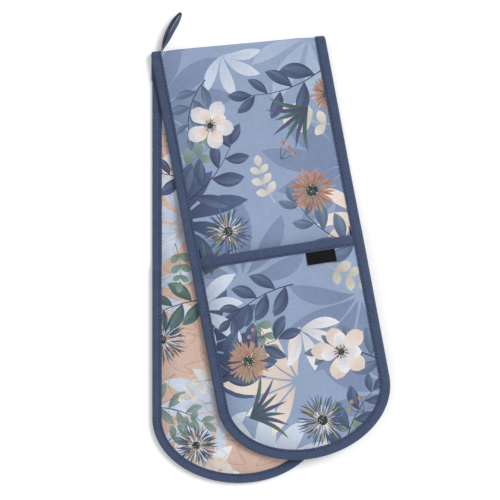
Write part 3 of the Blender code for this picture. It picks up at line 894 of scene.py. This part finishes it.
# The reverse cloth, printed peach. It is quilted to the wadding along lines that wander over it,
# with a pale brown thread.
PEACH_REPEAT = 0.470
PEACH_START = 5
QUILT_START = 3
QUILT_ROW = 0.024
QUILT_FIRST = 0.7
QUILT_LAST = 0.5
QUILT_WAVE = 0.034
QUILT_UNEVEN = (0.85, 1.15)
QUILT_SWING = 0.0105
QUILT_SWAY = 0.75
QUILT_CROSS = 0.35
QUILT_CROSS_WAVES = 1.7
QUILT_STEP = 0.0003
QUILT_MARK_EVERY = 4
QUILT_HALF = 0.0018
QUILT_DEPTH = 0.0005
QUILT_FROM_FOLD = 0.004


def quilt_line(leg):
    """The rows of quilting that wander to and fro across a leg."""
    draw = random.Random(QUILT_START + leg.on_top)
    kept = []
    first = QUILT_ROW * QUILT_FIRST
    while first < leg.length - QUILT_ROW * QUILT_LAST:
        across = np.arange(-HALF_WIDTH, HALF_WIDTH, QUILT_STEP)
        phase, wave = draw.uniform(0, 2 * math.pi), QUILT_WAVE * draw.uniform(*QUILT_UNEVEN)
        turn = 2 * math.pi * across / wave + phase
        crossing = QUILT_CROSS * np.sin(turn * QUILT_CROSS_WAVES + phase)
        along = first + QUILT_SWING * (np.sin(turn) + crossing)
        aside = across + QUILT_SWING * QUILT_SWAY * np.sin(2 * turn + phase)
        off_seam = edge_distance(leg, aside, along) > SEAM_INSET
        off_fold = along > aside * leg.fold_slope + QUILT_FROM_FOLD
        kept.append(np.stack((aside, along), 1)[off_seam & off_fold])
        first += QUILT_ROW
    return kept


def quilted(line):
    """How far the quilting pulls the cloth in at spots of a leg."""
    tree = kdtree.KDTree(len(line))
    for number, spot in enumerate(line.tolist()):
        tree.insert((*spot, 0), number)
    tree.balance()

    def depth(spots):
        reach = np.array([tree.find((*spot, 0))[2] for spot in spots.tolist()])
        return QUILT_DEPTH * np.exp(-(reach / QUILT_HALF) ** 2)
    return depth


peach_print = drawing(PEACH_LAYOUT, PEACH_START, (0, -PEACH_REPEAT))
quilt_rows = {leg.name: quilt_line(leg) for leg in (REAR, FRONT)}


def reverse_sheet(name, leg, paints):
    """The quilted cloth, uppermost on the rear leg and undermost on the front one."""
    line = np.concatenate(quilt_rows[leg.name])
    pull = quilted(line)
    panel = panel_of(leg, "strip")
    beside = line[::QUILT_MARK_EVERY]
    beside = beside[beside[:, 1] > beside[:, 0] * leg.fold_slope + MARK_CLEARANCE]
    marks = np.concatenate((panel_marks(*panel, GRID), beside))
    side, inward = ("strip_low", 1) if leg.on_top else ("strip_high", -1)

    def points(depth):
        def found(spots):
            made = on_leg(leg, side, inward * depth)(spots)
            made[:, 2] += inward * pull(spots)
            return made
        return found

    kept, flip = within(paints, 0, leg.length), not leg.on_top
    return sheet(name, panel_outline(*panel), marks, kept, PEACH_GROUND, points(0), points(CLOTH), flip)


for leg, paints in ((REAR, peach_print), (FRONT, turned_round(peach_print, 0))):
    made = reverse_sheet(f"{leg.name}_peach_cloth", leg, paints)
    laid_cloth(made, leg, "strip", printed_cotton, "reverse_cloth")


# The plain lining of the pockets, which the hand slides in on. It is the side of a pocket's panel
# that lies on the strip.
PLAIN_GRID = 0.0060
LINING_COLOUR = (188, 195, 208)

lining_cotton = woven("lining_cotton", LINING_COLOUR, roughness=0.85)
for leg in (REAR, FRONT):
    made = cloth(f"{leg.name}_lining", leg, "pocket", not leg.on_top, [], LINING_COLOUR, PLAIN_GRID)
    laid_cloth(made, leg, "pocket", lining_cotton, "pocket_lining")


# The wadding between the cloths, thick in the middle and pressed flat where it is sewn. It keeps
# clear of the cloths and of the dents of the quilting.
WADDING_COLOUR = (232, 228, 218)
WADDING_GAP = CLOTH + SEAM_GAP
WADDING_RELIEF = 0.0004


def padding(name, leg, layer):
    quilting = QUILT_DEPTH if layer == "strip" else 0
    above, below = (0, quilting) if leg.on_top else (quilting, 0)
    panel = panel_of(leg, layer)
    marks = panel_marks(*panel, PLAIN_GRID)
    face = on_leg(leg, f"{layer}_high", -WADDING_GAP - above)
    back = on_leg(leg, f"{layer}_low", WADDING_GAP + below)
    return sheet(name, panel_outline(*panel), marks, [], WADDING_COLOUR, face, back, True)


cotton_batting = woven("cotton_batting", WADDING_COLOUR, roughness=0.95, weave=0, relief=WADDING_RELIEF)
for layer, word in (("strip", "padding"), ("pocket", "pocket_padding")):
    for leg in (REAR, FRONT):
        made = padding(f"{leg.name}_{word}", leg, layer)
        node = f"{leg.name}_{WADDING_OF[layer]}"
        finished(made, cotton_batting, f"{leg.name}_leg", node)


# The bias binding round each leg: a folded strip of slate-blue cotton that wraps the raw edges and
# is topstitched near its inner edge, so it swells between its stitches and the edge.
BINDING_COLOUR = (71, 84, 115)
BINDING_WIDTH = 0.010
BINDING_CLOTH = 0.0006
BINDING_NOSE = 0.0022
BINDING_CUT = 0.0225
BINDING_RELIEF = 0.00012
FRONT_ROLL_OUT = 0.0011
MOUTH_ROLL_OUT = 0.0013
FLANGE_STEPS = 15
NOSE_STEPS = 8
STITCH_INSET = 0.0080
STITCH_DIP = 0.00022
STITCH_DIP_HALF = 0.0006
BINDING_PUFF = 0.00012
EDGE_ROLL = 0.00025
EDGE_ROLL_RUN = 0.0007
LAP_FIRST = 0.006
LAP_LAST = 0.034
LAP_EASE = 0.004
LAP_OUT = 0.0010
LAP_UP = 0.0006


def bound_profile():
    """Insets round a binding with the height of each as a share between its lower and upper side
    and what is added to it, outside first and then inside."""
    flange = np.linspace(BINDING_WIDTH, BINDING_NOSE, FLANGE_STEPS)
    puff = BINDING_PUFF * np.sin(math.pi * (flange - BINDING_NOSE) / (STITCH_INSET - BINDING_NOSE)).clip(0)
    dip = STITCH_DIP * np.exp(-((flange - STITCH_INSET) / STITCH_DIP_HALF) ** 2)
    roll = EDGE_ROLL * (1 - (BINDING_WIDTH - flange) / EDGE_ROLL_RUN).clip(0) ** 2
    relief = puff - dip - roll
    turn = np.linspace(-math.pi / 2, math.pi / 2, NOSE_STEPS + 1)[1:-1]
    nose = BINDING_NOSE * (1 - np.cos(turn))
    inset = np.concatenate((flange, nose, flange[::-1]))
    share = np.concatenate((0 * flange - 1, np.sin(turn), 0 * flange + 1))
    added = np.concatenate((-relief.clip(None, 0), 0 * turn, relief[::-1]))
    return inset, share, added


def bound_ring(low, high):
    """The (inset, height) points of a binding's section round layers from low to high."""
    inset, share, added = bound_profile()
    middle, half = (low + high) / 2, (high - low) / 2
    outside = middle + half * share + added
    inner_inset = np.where(inset < BINDING_NOSE, inset + BINDING_CLOTH, np.maximum(inset, BINDING_NOSE))
    inner_inset = np.minimum(inner_inset, BINDING_WIDTH)
    inside = middle + (half - BINDING_CLOTH) * share + np.where(np.abs(share) == 1, added.clip(None, 0), 0)
    inside = np.where(share == -1, middle - half + BINDING_CLOTH + added, inside)
    return np.concatenate((inset, inner_inset[::-1])), np.concatenate((outside, inside[::-1]))


def reach_along(line):
    """How far along a line each of its points lies."""
    return np.concatenate(([0], np.linalg.norm(np.diff(line, axis=0), axis=1).cumsum()))


def swept(name, rings):
    """A solid through rings of points, stations by corners by three, closed at both its ends."""
    stations, corners = rings.shape[:2]
    bm = bmesh.new()
    bmesh.ops.create_grid(bm, x_segments=corners, y_segments=stations - 1)
    closed = np.concatenate((rings, rings[:, :1]), 1)
    girth = np.linalg.norm(np.diff(closed, axis=1), axis=2).mean(0).cumsum()
    girth = np.concatenate(([0], girth))
    reach = reach_along(rings[:, corners // 4])
    grain = bm.loops.layers.uv.new("grain")
    bm.verts.ensure_lookup_table()
    for vert in bm.verts:
        station, corner = divmod(vert.index, corners + 1)
        vert.co = closed[station, corner]
    for face in bm.faces:
        for loop in face.loops:
            station, corner = divmod(loop.vert.index, corners + 1)
            loop[grain].uv = girth[corner], reach[station]
    for end in (bm.verts[:corners + 1], bm.verts[-corners - 1:]):
        bm.faces.new(end[:-1])
    bmesh.ops.remove_doubles(bm, verts=bm.verts, dist=FUSE)
    bmesh.ops.triangulate(bm, faces=[face for face in bm.faces if len(face.verts) > 4])
    bmesh.ops.recalc_face_normals(bm, faces=bm.faces)
    mesh = bpy.data.meshes.new(name)
    bm.to_mesh(mesh)
    bm.free()
    mesh.shade_smooth()
    mesh.set_sharp_from_angle(angle=SHARP_EDGE)
    return placed(name, mesh)


def rolled_out(insets, out):
    """Insets with a binding's folded edge moved outwards while its inner edge stays."""
    return insets - out * (1 - insets / BINDING_WIDTH)


def leg_binding(name, leg):
    insets, _ = bound_ring(0, 1)
    spread = rolled_out(insets, FRONT_ROLL_OUT * leg.on_top)
    lines = np.stack([edge_line(leg, inset, 0, leg.fold_slope) for inset in spread], 1)
    rim = edge_line(leg, 0, 0, leg.fold_slope)
    height = heights(leg, *rim.T)
    level = bed(leg, *rim.T)
    lapped = (rim[:, 0] < 0) & (rim[:, 1] < LAP_LAST) & (not leg.on_top)
    lap = lapped * smooth((rim[:, 1] - LAP_FIRST) / LAP_EASE)
    rings = []
    for station, spots in enumerate(lines):
        low, high = height.bound_low[station], height.bound_high[station] + LAP_UP * lap[station]
        spots[:, 0] -= LAP_OUT * lap[station] * (1 - insets / BINDING_WIDTH)
        _, tall = bound_ring(low - level[station], high - level[station])
        x, y = place(leg, *spots.T)
        rings.append(np.stack((x, y, bed(leg, *spots.T) + tall), 1))
    return swept(name, np.array(rings))


rear_rim = leg_binding("rear_rim", REAR)
front_rim = leg_binding("front_rim", FRONT)
bias_cotton = woven(
    "bias_cotton", BINDING_COLOUR, roughness=0.85, turn=math.pi / 4, weave=0.4, slub=0.8, mottle=0.3,
    relief=BINDING_RELIEF,
)


def bound_strip(line):
    """Works out the width and the length of a binding's folded strip, and does nothing further with them."""
    cut = BINDING_CUT, reach_along(line)[-1]


for leg, made in ((REAR, rear_rim), (FRONT, front_rim)):
    finished(made, bias_cotton, f"{leg.name}_leg", f"{leg.name}_edge_binding")
bound_strip(edge_line(FRONT, 0, 0, FOLD_SLOPE))


# The same binding finishes the mouth of each pocket. It runs from one edge binding to the other
# round the three layers of the pocket's panel.
MOUTH_END = HALF_WIDTH - BINDING_WIDTH - SEAM_GAP
MOUTH_STEPS = 120


def pocket_rim(name, leg):
    insets, _ = bound_ring(0, 1)
    rings = []
    for across in np.linspace(-MOUTH_END, MOUTH_END, MOUTH_STEPS):
        rim = mouth_of(leg) + across * leg.mouth_slope
        spots = np.stack((np.full(len(insets), across), rim + rolled_out(insets, MOUTH_ROLL_OUT)), 1)
        at = heights(leg, np.array([across]), np.array([rim + LAYER_INSET]))
        level = bed(leg, np.array([across]), np.array([rim + LAYER_INSET]))[0]
        low, high = at.pocket_low[0] - STAND - level, at.pocket_high[0] + STAND - level
        _, tall = bound_ring(low, high)
        x, y = place(leg, *spots.T)
        rings.append(np.stack((x, y, bed(leg, *spots.T) + tall), 1))
    return swept(name, np.array(rings))


for leg in (REAR, FRONT):
    made = pocket_rim(f"{leg.name}_mouth_rim", leg)
    finished(made, bias_cotton, f"{leg.name}_leg", f"{leg.name}_mouth_binding")
    ends = np.array([[side * (HALF_WIDTH - BINDING_WIDTH), mouth_of(leg)] for side in (-1, 1)])
    bound_strip(ends)


# The stitches of navy thread that hold the binding, in a line just inside its inner edge, seen from
# above and from below. Each shows as a short length of thread that dips into the cloth at its ends.
STITCH_PITCH = 0.0038
STITCH_LONG = 0.0023
STITCH_THICK = 0.0010
STITCH_SUNK = STITCH_DIP - STITCH_THICK / 4
THREAD_COLOUR = (9, 11, 22)


def spaced(line, pitch):
    """Spots at an even pitch along a line, with the way it runs at each."""
    reach = reach_along(line)
    count = max(int(reach[-1] / pitch), 1)
    at = (np.arange(count) + 0.5) * reach[-1] / count

    def spots(reaches):
        return np.stack([np.interp(reaches, reach, column) for column in line.T], 1)

    ways = spots(at + pitch / 4) - spots(at - pitch / 4)
    return spots(at), ways / np.linalg.norm(ways, axis=1)[:, None]


def thread_grains(name, rows, long, thick):
    """Short lengths of thread as one piece, from rows of middles and ways. Each is a small grain."""
    middles, ways = (np.concatenate(part) for part in zip(*rows))
    bm = bmesh.new()
    bmesh.ops.create_icosphere(bm, subdivisions=1, radius=0.5)
    shape = np.array([vert.co for vert in bm.verts])
    faces = np.array([[vert.index for vert in face.verts] for face in bm.faces])
    bm.free()
    side = np.cross(ways, (0, 0, 1))
    side /= np.linalg.norm(side, axis=1)[:, None]
    above = np.cross(side, ways)
    points = middles[:, None] + long * shape[None, :, :1] * ways[:, None]
    points = points + thick * (shape[None, :, 1:2] * side[:, None] + shape[None, :, 2:] * above[:, None])
    corners = (faces[None] + len(shape) * np.arange(len(middles))[:, None, None]).reshape(-1, 3)
    mesh = bpy.data.meshes.new(name)
    mesh.from_pydata(points.reshape(-1, 3).tolist(), [], corners.tolist())
    grain = mesh.uv_layers.new(name="grain")
    flat = np.tile(shape[:, :2] * (long, thick), (len(middles), 1))
    grain.data.foreach_set("uv", flat[corners.ravel()].ravel())
    mesh.shade_smooth()
    return placed(name, mesh)


def binding_stitches(name, leg):
    around = edge_line(leg, STITCH_INSET, 0, leg.fold_slope)
    across = np.linspace(-MOUTH_END, MOUTH_END, CROSS_STEPS)
    mouth = np.stack((across, mouth_of(leg) + STITCH_INSET + across * leg.mouth_slope), 1)
    rows = [
        spaced(on_leg(leg, side, shift)(line), STITCH_PITCH)
        for line, side, shift in (
            (around, "bound_high", -STITCH_SUNK),
            (around, "bound_low", STITCH_SUNK),
            (mouth, "pocket_high", STAND - STITCH_SUNK),
            (mouth, "pocket_low", STITCH_SUNK - STAND),
        )
    ]
    return thread_grains(name, rows, STITCH_LONG, STITCH_THICK)


navy_thread = woven("navy_thread_finish", THREAD_COLOUR, roughness=0.6)
for leg in (REAR, FRONT):
    made = binding_stitches(f"{leg.name}_stitching", leg)
    finished(made, navy_thread, f"{leg.name}_leg")


# The quilting stitches, in a pale brown thread. They lie in the dents that the quilting pulls into
# the reverse cloth. Their colour is painted darker than the pale thread, as painted shade of the dents.
QUILT_PITCH = 0.0026
QUILT_LONG = 0.0016
QUILT_THICK = 0.00055
QUILT_SUNK = QUILT_DEPTH - QUILT_THICK / 4
# A dark brown, darker than the pale thread itself: painted shade of the dents the stitches lie in.
QUILT_THREAD_WITH_SHADE = (104, 80, 74)

brown_thread_with_shade = woven("brown_thread_with_shade_finish", QUILT_THREAD_WITH_SHADE, roughness=0.7)
for leg in (REAR, FRONT):
    side, shift = ("strip_low", QUILT_SUNK) if leg.on_top else ("strip_high", -QUILT_SUNK)
    rows = [spaced(on_leg(leg, side, shift)(row), QUILT_PITCH) for row in quilt_rows[leg.name]]
    made = thread_grains(f"{leg.name}_quilting", rows, QUILT_LONG, QUILT_THICK)
    finished(made, brown_thread_with_shade, f"{leg.name}_leg")


# The bar tacks: close zigzag stitches beside the edge binding at each end of a pocket's mouth, on
# the strip just above it.
TACK_LENGTH = 0.009
TACK_WIDTH = 0.0020
TACK_THREADS = 10
TACK_THICK = 0.0008
TACK_LEAN = 0.45
TACK_COLOUR = (40, 48, 74)


def tack(name, leg, side):
    start = mouth_of(leg) - MOUTH_ROLL_OUT - TACK_LENGTH - SEAM_GAP
    share = (np.arange(TACK_THREADS) + 0.5) / TACK_THREADS
    across = np.full(TACK_THREADS, side * (MOUTH_END - TACK_WIDTH / 2))
    along = start + TACK_LENGTH * share + across * leg.mouth_slope
    height = heights(leg, across, along)
    level = height.strip_high if leg.on_top else 0 * across + STITCH_THICK
    middles = np.stack((*place(leg, across, along), level + TACK_THICK / 2), 1)
    lean = np.where(np.arange(TACK_THREADS) % 2, TACK_LEAN, -TACK_LEAN)
    way = np.stack((*place(leg, across + np.cos(lean), along + np.sin(lean)), 0 * across), 1)
    way[:, :2] -= np.stack(place(leg, across, along), 1)
    return thread_grains(name, [(middles, way)], TACK_WIDTH, TACK_THICK)


tack_thread = woven("tack_thread", TACK_COLOUR, roughness=0.7)
for leg in (REAR, FRONT):
    for side, word in ((-1, "left"), (1, "right")):
        made = tack(f"{leg.name}_tack_{word}", leg, side)
        finished(made, tack_thread, f"{leg.name}_leg", f"{leg.name}_bar_tack_{word}")


# The fold, where the same cloths, wadding and bindings turn over from one leg to the other. Each
# point of a layer moves with the two legs by how far round the slanted fold it lies.
FOLD_STEPS = 24


def over_fold(across, turn, rear_height, front_height):
    """Points of a layer that turns over the fold, from 0 at the rear leg to a half turn."""
    reach = (front_height - rear_height) / 2 * np.sin(turn)
    level = (front_height + rear_height) / 2 - (front_height - rear_height) / 2 * np.cos(turn)
    x = across - reach * math.sin(FAN_ANGLE / 2)
    y = FOLD_Y + across * FOLD_SLOPE + reach * math.cos(FAN_ANGLE / 2)
    return np.stack((x, y, level), -1)


def fold_heights(across):
    rear = heights(REAR, across, across * REAR.fold_slope)
    front = heights(FRONT, across, across * FRONT.fold_slope)
    return rear, front


def turned_over(made):
    """Blends a piece over the fold, each point by how far it lies round it."""
    points = np.empty(len(made.data.vertices) * 3)
    made.data.vertices.foreach_get("co", points)
    x, y, z = points.reshape(-1, 3).T
    away = (y - FOLD_Y - x * FOLD_SLOPE) * math.cos(FAN_ANGLE / 2)
    turns = np.arctan2(away.clip(0), FOLD_RADIUS - z)
    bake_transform(made, "rear_leg", "front_leg", start=(0, FOLD_Y, 0), end=(0, FOLD_Y, 2 * FOLD_RADIUS))
    weights = made.data.attributes["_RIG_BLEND"]
    weights.data.foreach_set("value", (turns / math.pi).clip(0, 1))
    return made


def fold_band(name, outer_of, inner_of):
    """A layer round the fold, given where its outer and inner sides leave and join the legs."""
    across = np.linspace(-PANEL_HALF, PANEL_HALF, CROSS_STEPS + 1)
    rear, front = fold_heights(across)
    rings = []
    for turn in np.linspace(0, math.pi, FOLD_STEPS + 1):
        outer = over_fold(across, turn, *outer_of(rear, front))
        inner = over_fold(across, turn, *inner_of(rear, front))
        rings.append(np.concatenate((outer, inner[::-1])))
    return turned_over(swept(name, np.array(rings)))


fold_padding = fold_band(
    "fold_padding",
    lambda rear, front: (rear.strip_low + WADDING_GAP, front.strip_high - WADDING_GAP),
    lambda rear, front: (rear.strip_high - WADDING_GAP, front.strip_low + WADDING_GAP),
)
fold_peach_cloth = fold_band(
    "fold_peach_cloth",
    lambda rear, front: (rear.strip_high - CLOTH, front.strip_low + CLOTH),
    lambda rear, front: (rear.strip_high, front.strip_low),
)
peach_cotton = woven("peach_cotton", PEACH_GROUND, PRINT_ROUGHNESS)


def fold_print():
    """The outer cloth over the fold, with the drawing running on round it."""
    across = np.linspace(-PANEL_HALF, PANEL_HALF, CROSS_STEPS + 1)
    steps = np.linspace(0, -FOLD_ARC, FOLD_STEPS // 2 + 1)[1:-1]

    def sloped(wide, step):
        return np.stack((wide, wide * FOLD_SLOPE + step), 1)

    outline = np.concatenate((
        sloped(across, 0),
        sloped(np.full(len(steps), PANEL_HALF), steps),
        sloped(across[::-1], -FOLD_ARC),
        sloped(np.full(len(steps), -PANEL_HALF), steps[::-1]),
    ))
    marks = np.concatenate([sloped(across[1:-1], step) for step in steps])

    def side_of(inset):
        def points(spots):
            wide, along = spots.T
            rear, front = fold_heights(wide)
            turn = math.pi * (1 + (along - wide * FOLD_SLOPE) / FOLD_ARC)
            return over_fold(wide, turn, rear.strip_low + inset, front.strip_high - inset)
        return points

    paints = within(blue_print, -2 * FOLD_ARC, FOLD_ARC)
    made = sheet("fold_blue_cloth", outline, marks, paints, BLUE_GROUND, side_of(0), side_of(CLOTH), True)
    return turned_over(made)


fold_blue_cloth = fold_print()


def fold_rim(name, side):
    rear, front = fold_heights(np.array([side * HALF_WIDTH]))
    insets, tall = bound_ring(rear.bound_low[0], rear.bound_high[0])
    rings = []
    for turn in np.linspace(0, math.pi, FOLD_STEPS + 1):
        across = side * (HALF_WIDTH - rolled_out(insets, FRONT_ROLL_OUT * turn / math.pi))
        rings.append(over_fold(across, turn, tall, front.bound_high[0] - tall))
    return turned_over(swept(name, np.array(rings)))


fold_rim_left = fold_rim("fold_rim_left", -1)
fold_rim_right = fold_rim("fold_rim_right", 1)


def fold_stitches():
    """The binding's stitches where they run over the fold, on its outer side."""
    rear, front = fold_heights(np.array([HALF_WIDTH]))
    low, high = rear.bound_low[0] + STITCH_SUNK, front.bound_high[0] - STITCH_SUNK
    turns = np.linspace(0, math.pi, FOLD_STEPS + 1)
    rows = []
    for side in (-1, 1):
        across = np.full(len(turns), side * (HALF_WIDTH - STITCH_INSET))
        rows.append(spaced(over_fold(across, turns, low, high), STITCH_PITCH))
    return turned_over(thread_grains("fold_stitching", rows, STITCH_LONG, STITCH_THICK))


fold_stitching = fold_stitches()
finished(fold_blue_cloth, printed_cotton, node="fold_outer_cloth")
finished(fold_peach_cloth, peach_cotton, node="fold_reverse_cloth")
finished(fold_padding, cotton_batting, node="fold_wadding")
finished(fold_rim_left, bias_cotton, node="fold_binding_left")
finished(fold_rim_right, bias_cotton, node="fold_binding_right")
finished(fold_stitching, navy_thread)
bound_strip(edge_line(REAR, 0, 0, -FOLD_SLOPE))


# The hanging loop: a narrow tape of the same cloth, bent into a long drop with both its ends sewn
# in at the fold beside the binding, and standing on its edge.
LOOP_LENGTH = 0.0425
LOOP_HALF_WIDTH = 0.0025
LOOP_TAPE = 0.0007
LOOP_TAPE_WIDTH = 0.007
LOOP_INSET = 0.0108
LOOP_SEWN_IN = 0.0021
LOOP_ROOT_UP = 0.0011
LOOP_PINCH = 0.42
LOOP_PINCH_BY = 0.12
LOOP_BEND = 0.004
LOOP_SLANT = 0.0031
LOOP_TIP_SLANT = 0.4
LOOP_TIP_FROM = 0.7
LOOP_SLANT_BY = 0.35
LOOP_STAND = 0.00105
LOOP_BOW = 0.0015
LOOP_LEAN = math.radians(27)
LOOP_STEPS = 96
LOOP_WIDEST = (2 / 3) * math.sqrt(1 / 3)
TAPE_EDGE_STEPS = 6


def tape_loop():
    foot = -(HALF_WIDTH - LOOP_INSET)
    edge_reach = FOLD_RADIUS + STAND
    reach = edge_reach + LOOP_STAND - STAND
    root = np.array((foot, FOLD_Y + foot * FOLD_SLOPE + reach))
    forward = np.array((math.sin(LOOP_LEAN), math.cos(LOOP_LEAN)))
    sideways = np.array((-forward[1], forward[0]))
    half_root = (LOOP_TAPE + SEAM_GAP) / 2
    side = np.linspace(1, -1, LOOP_STEPS + 1)
    run = 1 - side * side
    off = (half_root + (LOOP_HALF_WIDTH - half_root) / LOOP_WIDEST * run) * side
    off += LOOP_BOW * 4 * run * (1 - run)
    reach_out = mix(-LOOP_SEWN_IN, LOOP_LENGTH, run)
    path = root + forward * reach_out[:, None] + sideways * off[:, None]
    along = np.gradient(path, axis=0)
    along /= np.linalg.norm(along, axis=1)[:, None]
    outward = np.stack((along[:, 1], -along[:, 0]), 1)
    turn = np.linspace(0, math.pi, TAPE_EDGE_STEPS + 1)
    thick = LOOP_TAPE / 2 * np.concatenate((np.cos(turn), -np.cos(turn)))
    tall = np.concatenate((LOOP_TAPE_WIDTH / 2 + LOOP_TAPE / 2 * (np.sin(turn) - 1), 0 * turn))
    tall[TAPE_EDGE_STEPS + 1:] = -tall[:TAPE_EDGE_STEPS + 1]
    tilt = LOOP_SLANT * smooth(run / LOOP_SLANT_BY)
    tilt *= mix(1, LOOP_TIP_SLANT, smooth((run - LOOP_TIP_FROM) / (1 - LOOP_TIP_FROM)))
    eased = smooth(run / LOOP_PINCH_BY)
    pinch = mix(LOOP_PINCH, 1, eased)
    middle = edge_reach + mix(LOOP_ROOT_UP, 0, eased)
    rings = []
    for spot, way, lean, share, up in zip(path, outward, tilt, pinch, middle):
        slant = sideways * (lean * tall / LOOP_TAPE_WIDTH)[:, None]
        rings.append(np.column_stack((spot + way * thick[:, None] + slant, up + share * tall)))
    made = swept("tape_loop", np.array(rings))
    bent = root + forward * LOOP_BEND
    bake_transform(made, "crease", "hanging_loop", start=(*root, edge_reach), end=(*bent, edge_reach))
    return made


loop_piece = tape_loop()
finished(loop_piece, bias_cotton, node="hanging_loop")


# The label: a small black woven rectangle with nothing on it, on the front pocket close below the
# binding of its mouth.
LABEL_WIDTH = 0.0304
LABEL_DROP = 0.0129
LABEL_INSET = 0.031
LABEL_CLOTH = 0.0005
LABEL_GAP = 0.0001
LABEL_COLOUR = (12, 10, 10)
LABEL_CURL = 0.0009
LABEL_CELLS = (40, 18)


def bare_label():
    wide, deep = LABEL_CELLS
    first = mouth_of(FRONT) + BINDING_WIDTH + LABEL_GAP
    start = HALF_WIDTH - LABEL_INSET - LABEL_WIDTH
    across = np.linspace(start, start + LABEL_WIDTH, wide + 1)
    rings = []
    for share in np.linspace(0, 1, deep + 1):
        along = first + LABEL_DROP * share + across * MOUTH_SLOPE
        x, y = place(FRONT, across, along)
        low = heights(FRONT, across, along).pocket_high + SEAM_GAP + LABEL_CURL * share * share
        under = np.stack((x, y, low), 1)
        over = np.stack((x, y, low + LABEL_CLOTH), 1)
        rings.append(np.concatenate((under, over[::-1])))
    return swept("bare_label", np.array(rings))


label_piece = bare_label()
label_weave = woven("label_weave", LABEL_COLOUR, roughness=0.7, weave=0.2, mottle=0.05, shine=0.12)
finished(label_piece, label_weave, "label", "label")


# A white table top under a soft lamp from the right, high up, and even light all round. The camera
# sees plain white behind the object, and the object's shadow on it.
FLOOR_REACH = 1.6
FLOOR_DROP = 0.0006
FLOOR_GREY = 0.82
FLOOR_GLOW = 0.12
SKY = 0.62
LAMP = 1.55
LAMP_SPREAD = math.radians(24)
LAMP_FROM = (0.62, 0.42, 0.95)

bm = bmesh.new()
bmesh.ops.create_grid(bm, x_segments=1, y_segments=1, size=FLOOR_REACH)
bmesh.ops.translate(bm, verts=bm.verts, vec=(0, 0, -FLOOR_DROP))
floor_mesh = bpy.data.meshes.new("floor")
bm.to_mesh(floor_mesh)
bm.free()
placed("floor", floor_mesh)
paper = bpy.data.materials.new("paper")
paper.use_nodes = True


def seen_by_camera(tree):
    """1 for what the camera or a glossy surface sees, 0 for the light on the object."""
    ray = tree.nodes.new("ShaderNodeLightPath")
    seen = tree.nodes.new("ShaderNodeMath")
    seen.operation = "MAXIMUM"
    tree.links.new(ray.outputs["Is Camera Ray"], seen.inputs[0])
    tree.links.new(ray.outputs["Is Glossy Ray"], seen.inputs[1])
    return seen.outputs[0]


def stepped(tree, share, low, high):
    """A value between low and high by a share."""
    step = tree.nodes.new("ShaderNodeMath")
    step.operation = "MULTIPLY_ADD"
    tree.links.new(share, step.inputs[0])
    step.inputs[1].default_value = high - low
    step.inputs[2].default_value = low
    return step.outputs[0]


paper_tree = paper.node_tree
paper_shader = paper_tree.nodes["Principled BSDF"]
seen = seen_by_camera(paper_tree)
paper_tree.links.new(stepped(paper_tree, seen, FLOOR_GREY, 1), paper_shader.inputs["Base Color"])
paper_tree.links.new(stepped(paper_tree, seen, 0, FLOOR_GLOW), paper_shader.inputs["Emission Strength"])
paper_shader.inputs["Emission Color"].default_value = (1, 1, 1, 1)
paper_shader.inputs["Roughness"].default_value = 1
paper_shader.inputs["Specular IOR Level"].default_value = 0
floor_mesh.materials.append(paper)

lamp = bpy.data.lights.new("lamp", "SUN")
lamp.energy = LAMP
lamp.angle = LAMP_SPREAD
lamp_stand = placed("lamp", lamp)
lamp_stand.rotation_euler = Vector(LAMP_FROM).to_track_quat("Z", "Y").to_euler()
sky = bpy.data.worlds.new("sky")
sky.use_nodes = True
sky.node_tree.nodes["Background"].inputs["Color"].default_value = (1, 1, 1, 1)
strength = stepped(sky.node_tree, seen_by_camera(sky.node_tree), SKY, 1)
sky.node_tree.links.new(strength, sky.node_tree.nodes["Background"].inputs["Strength"])
bpy.context.scene.world = sky
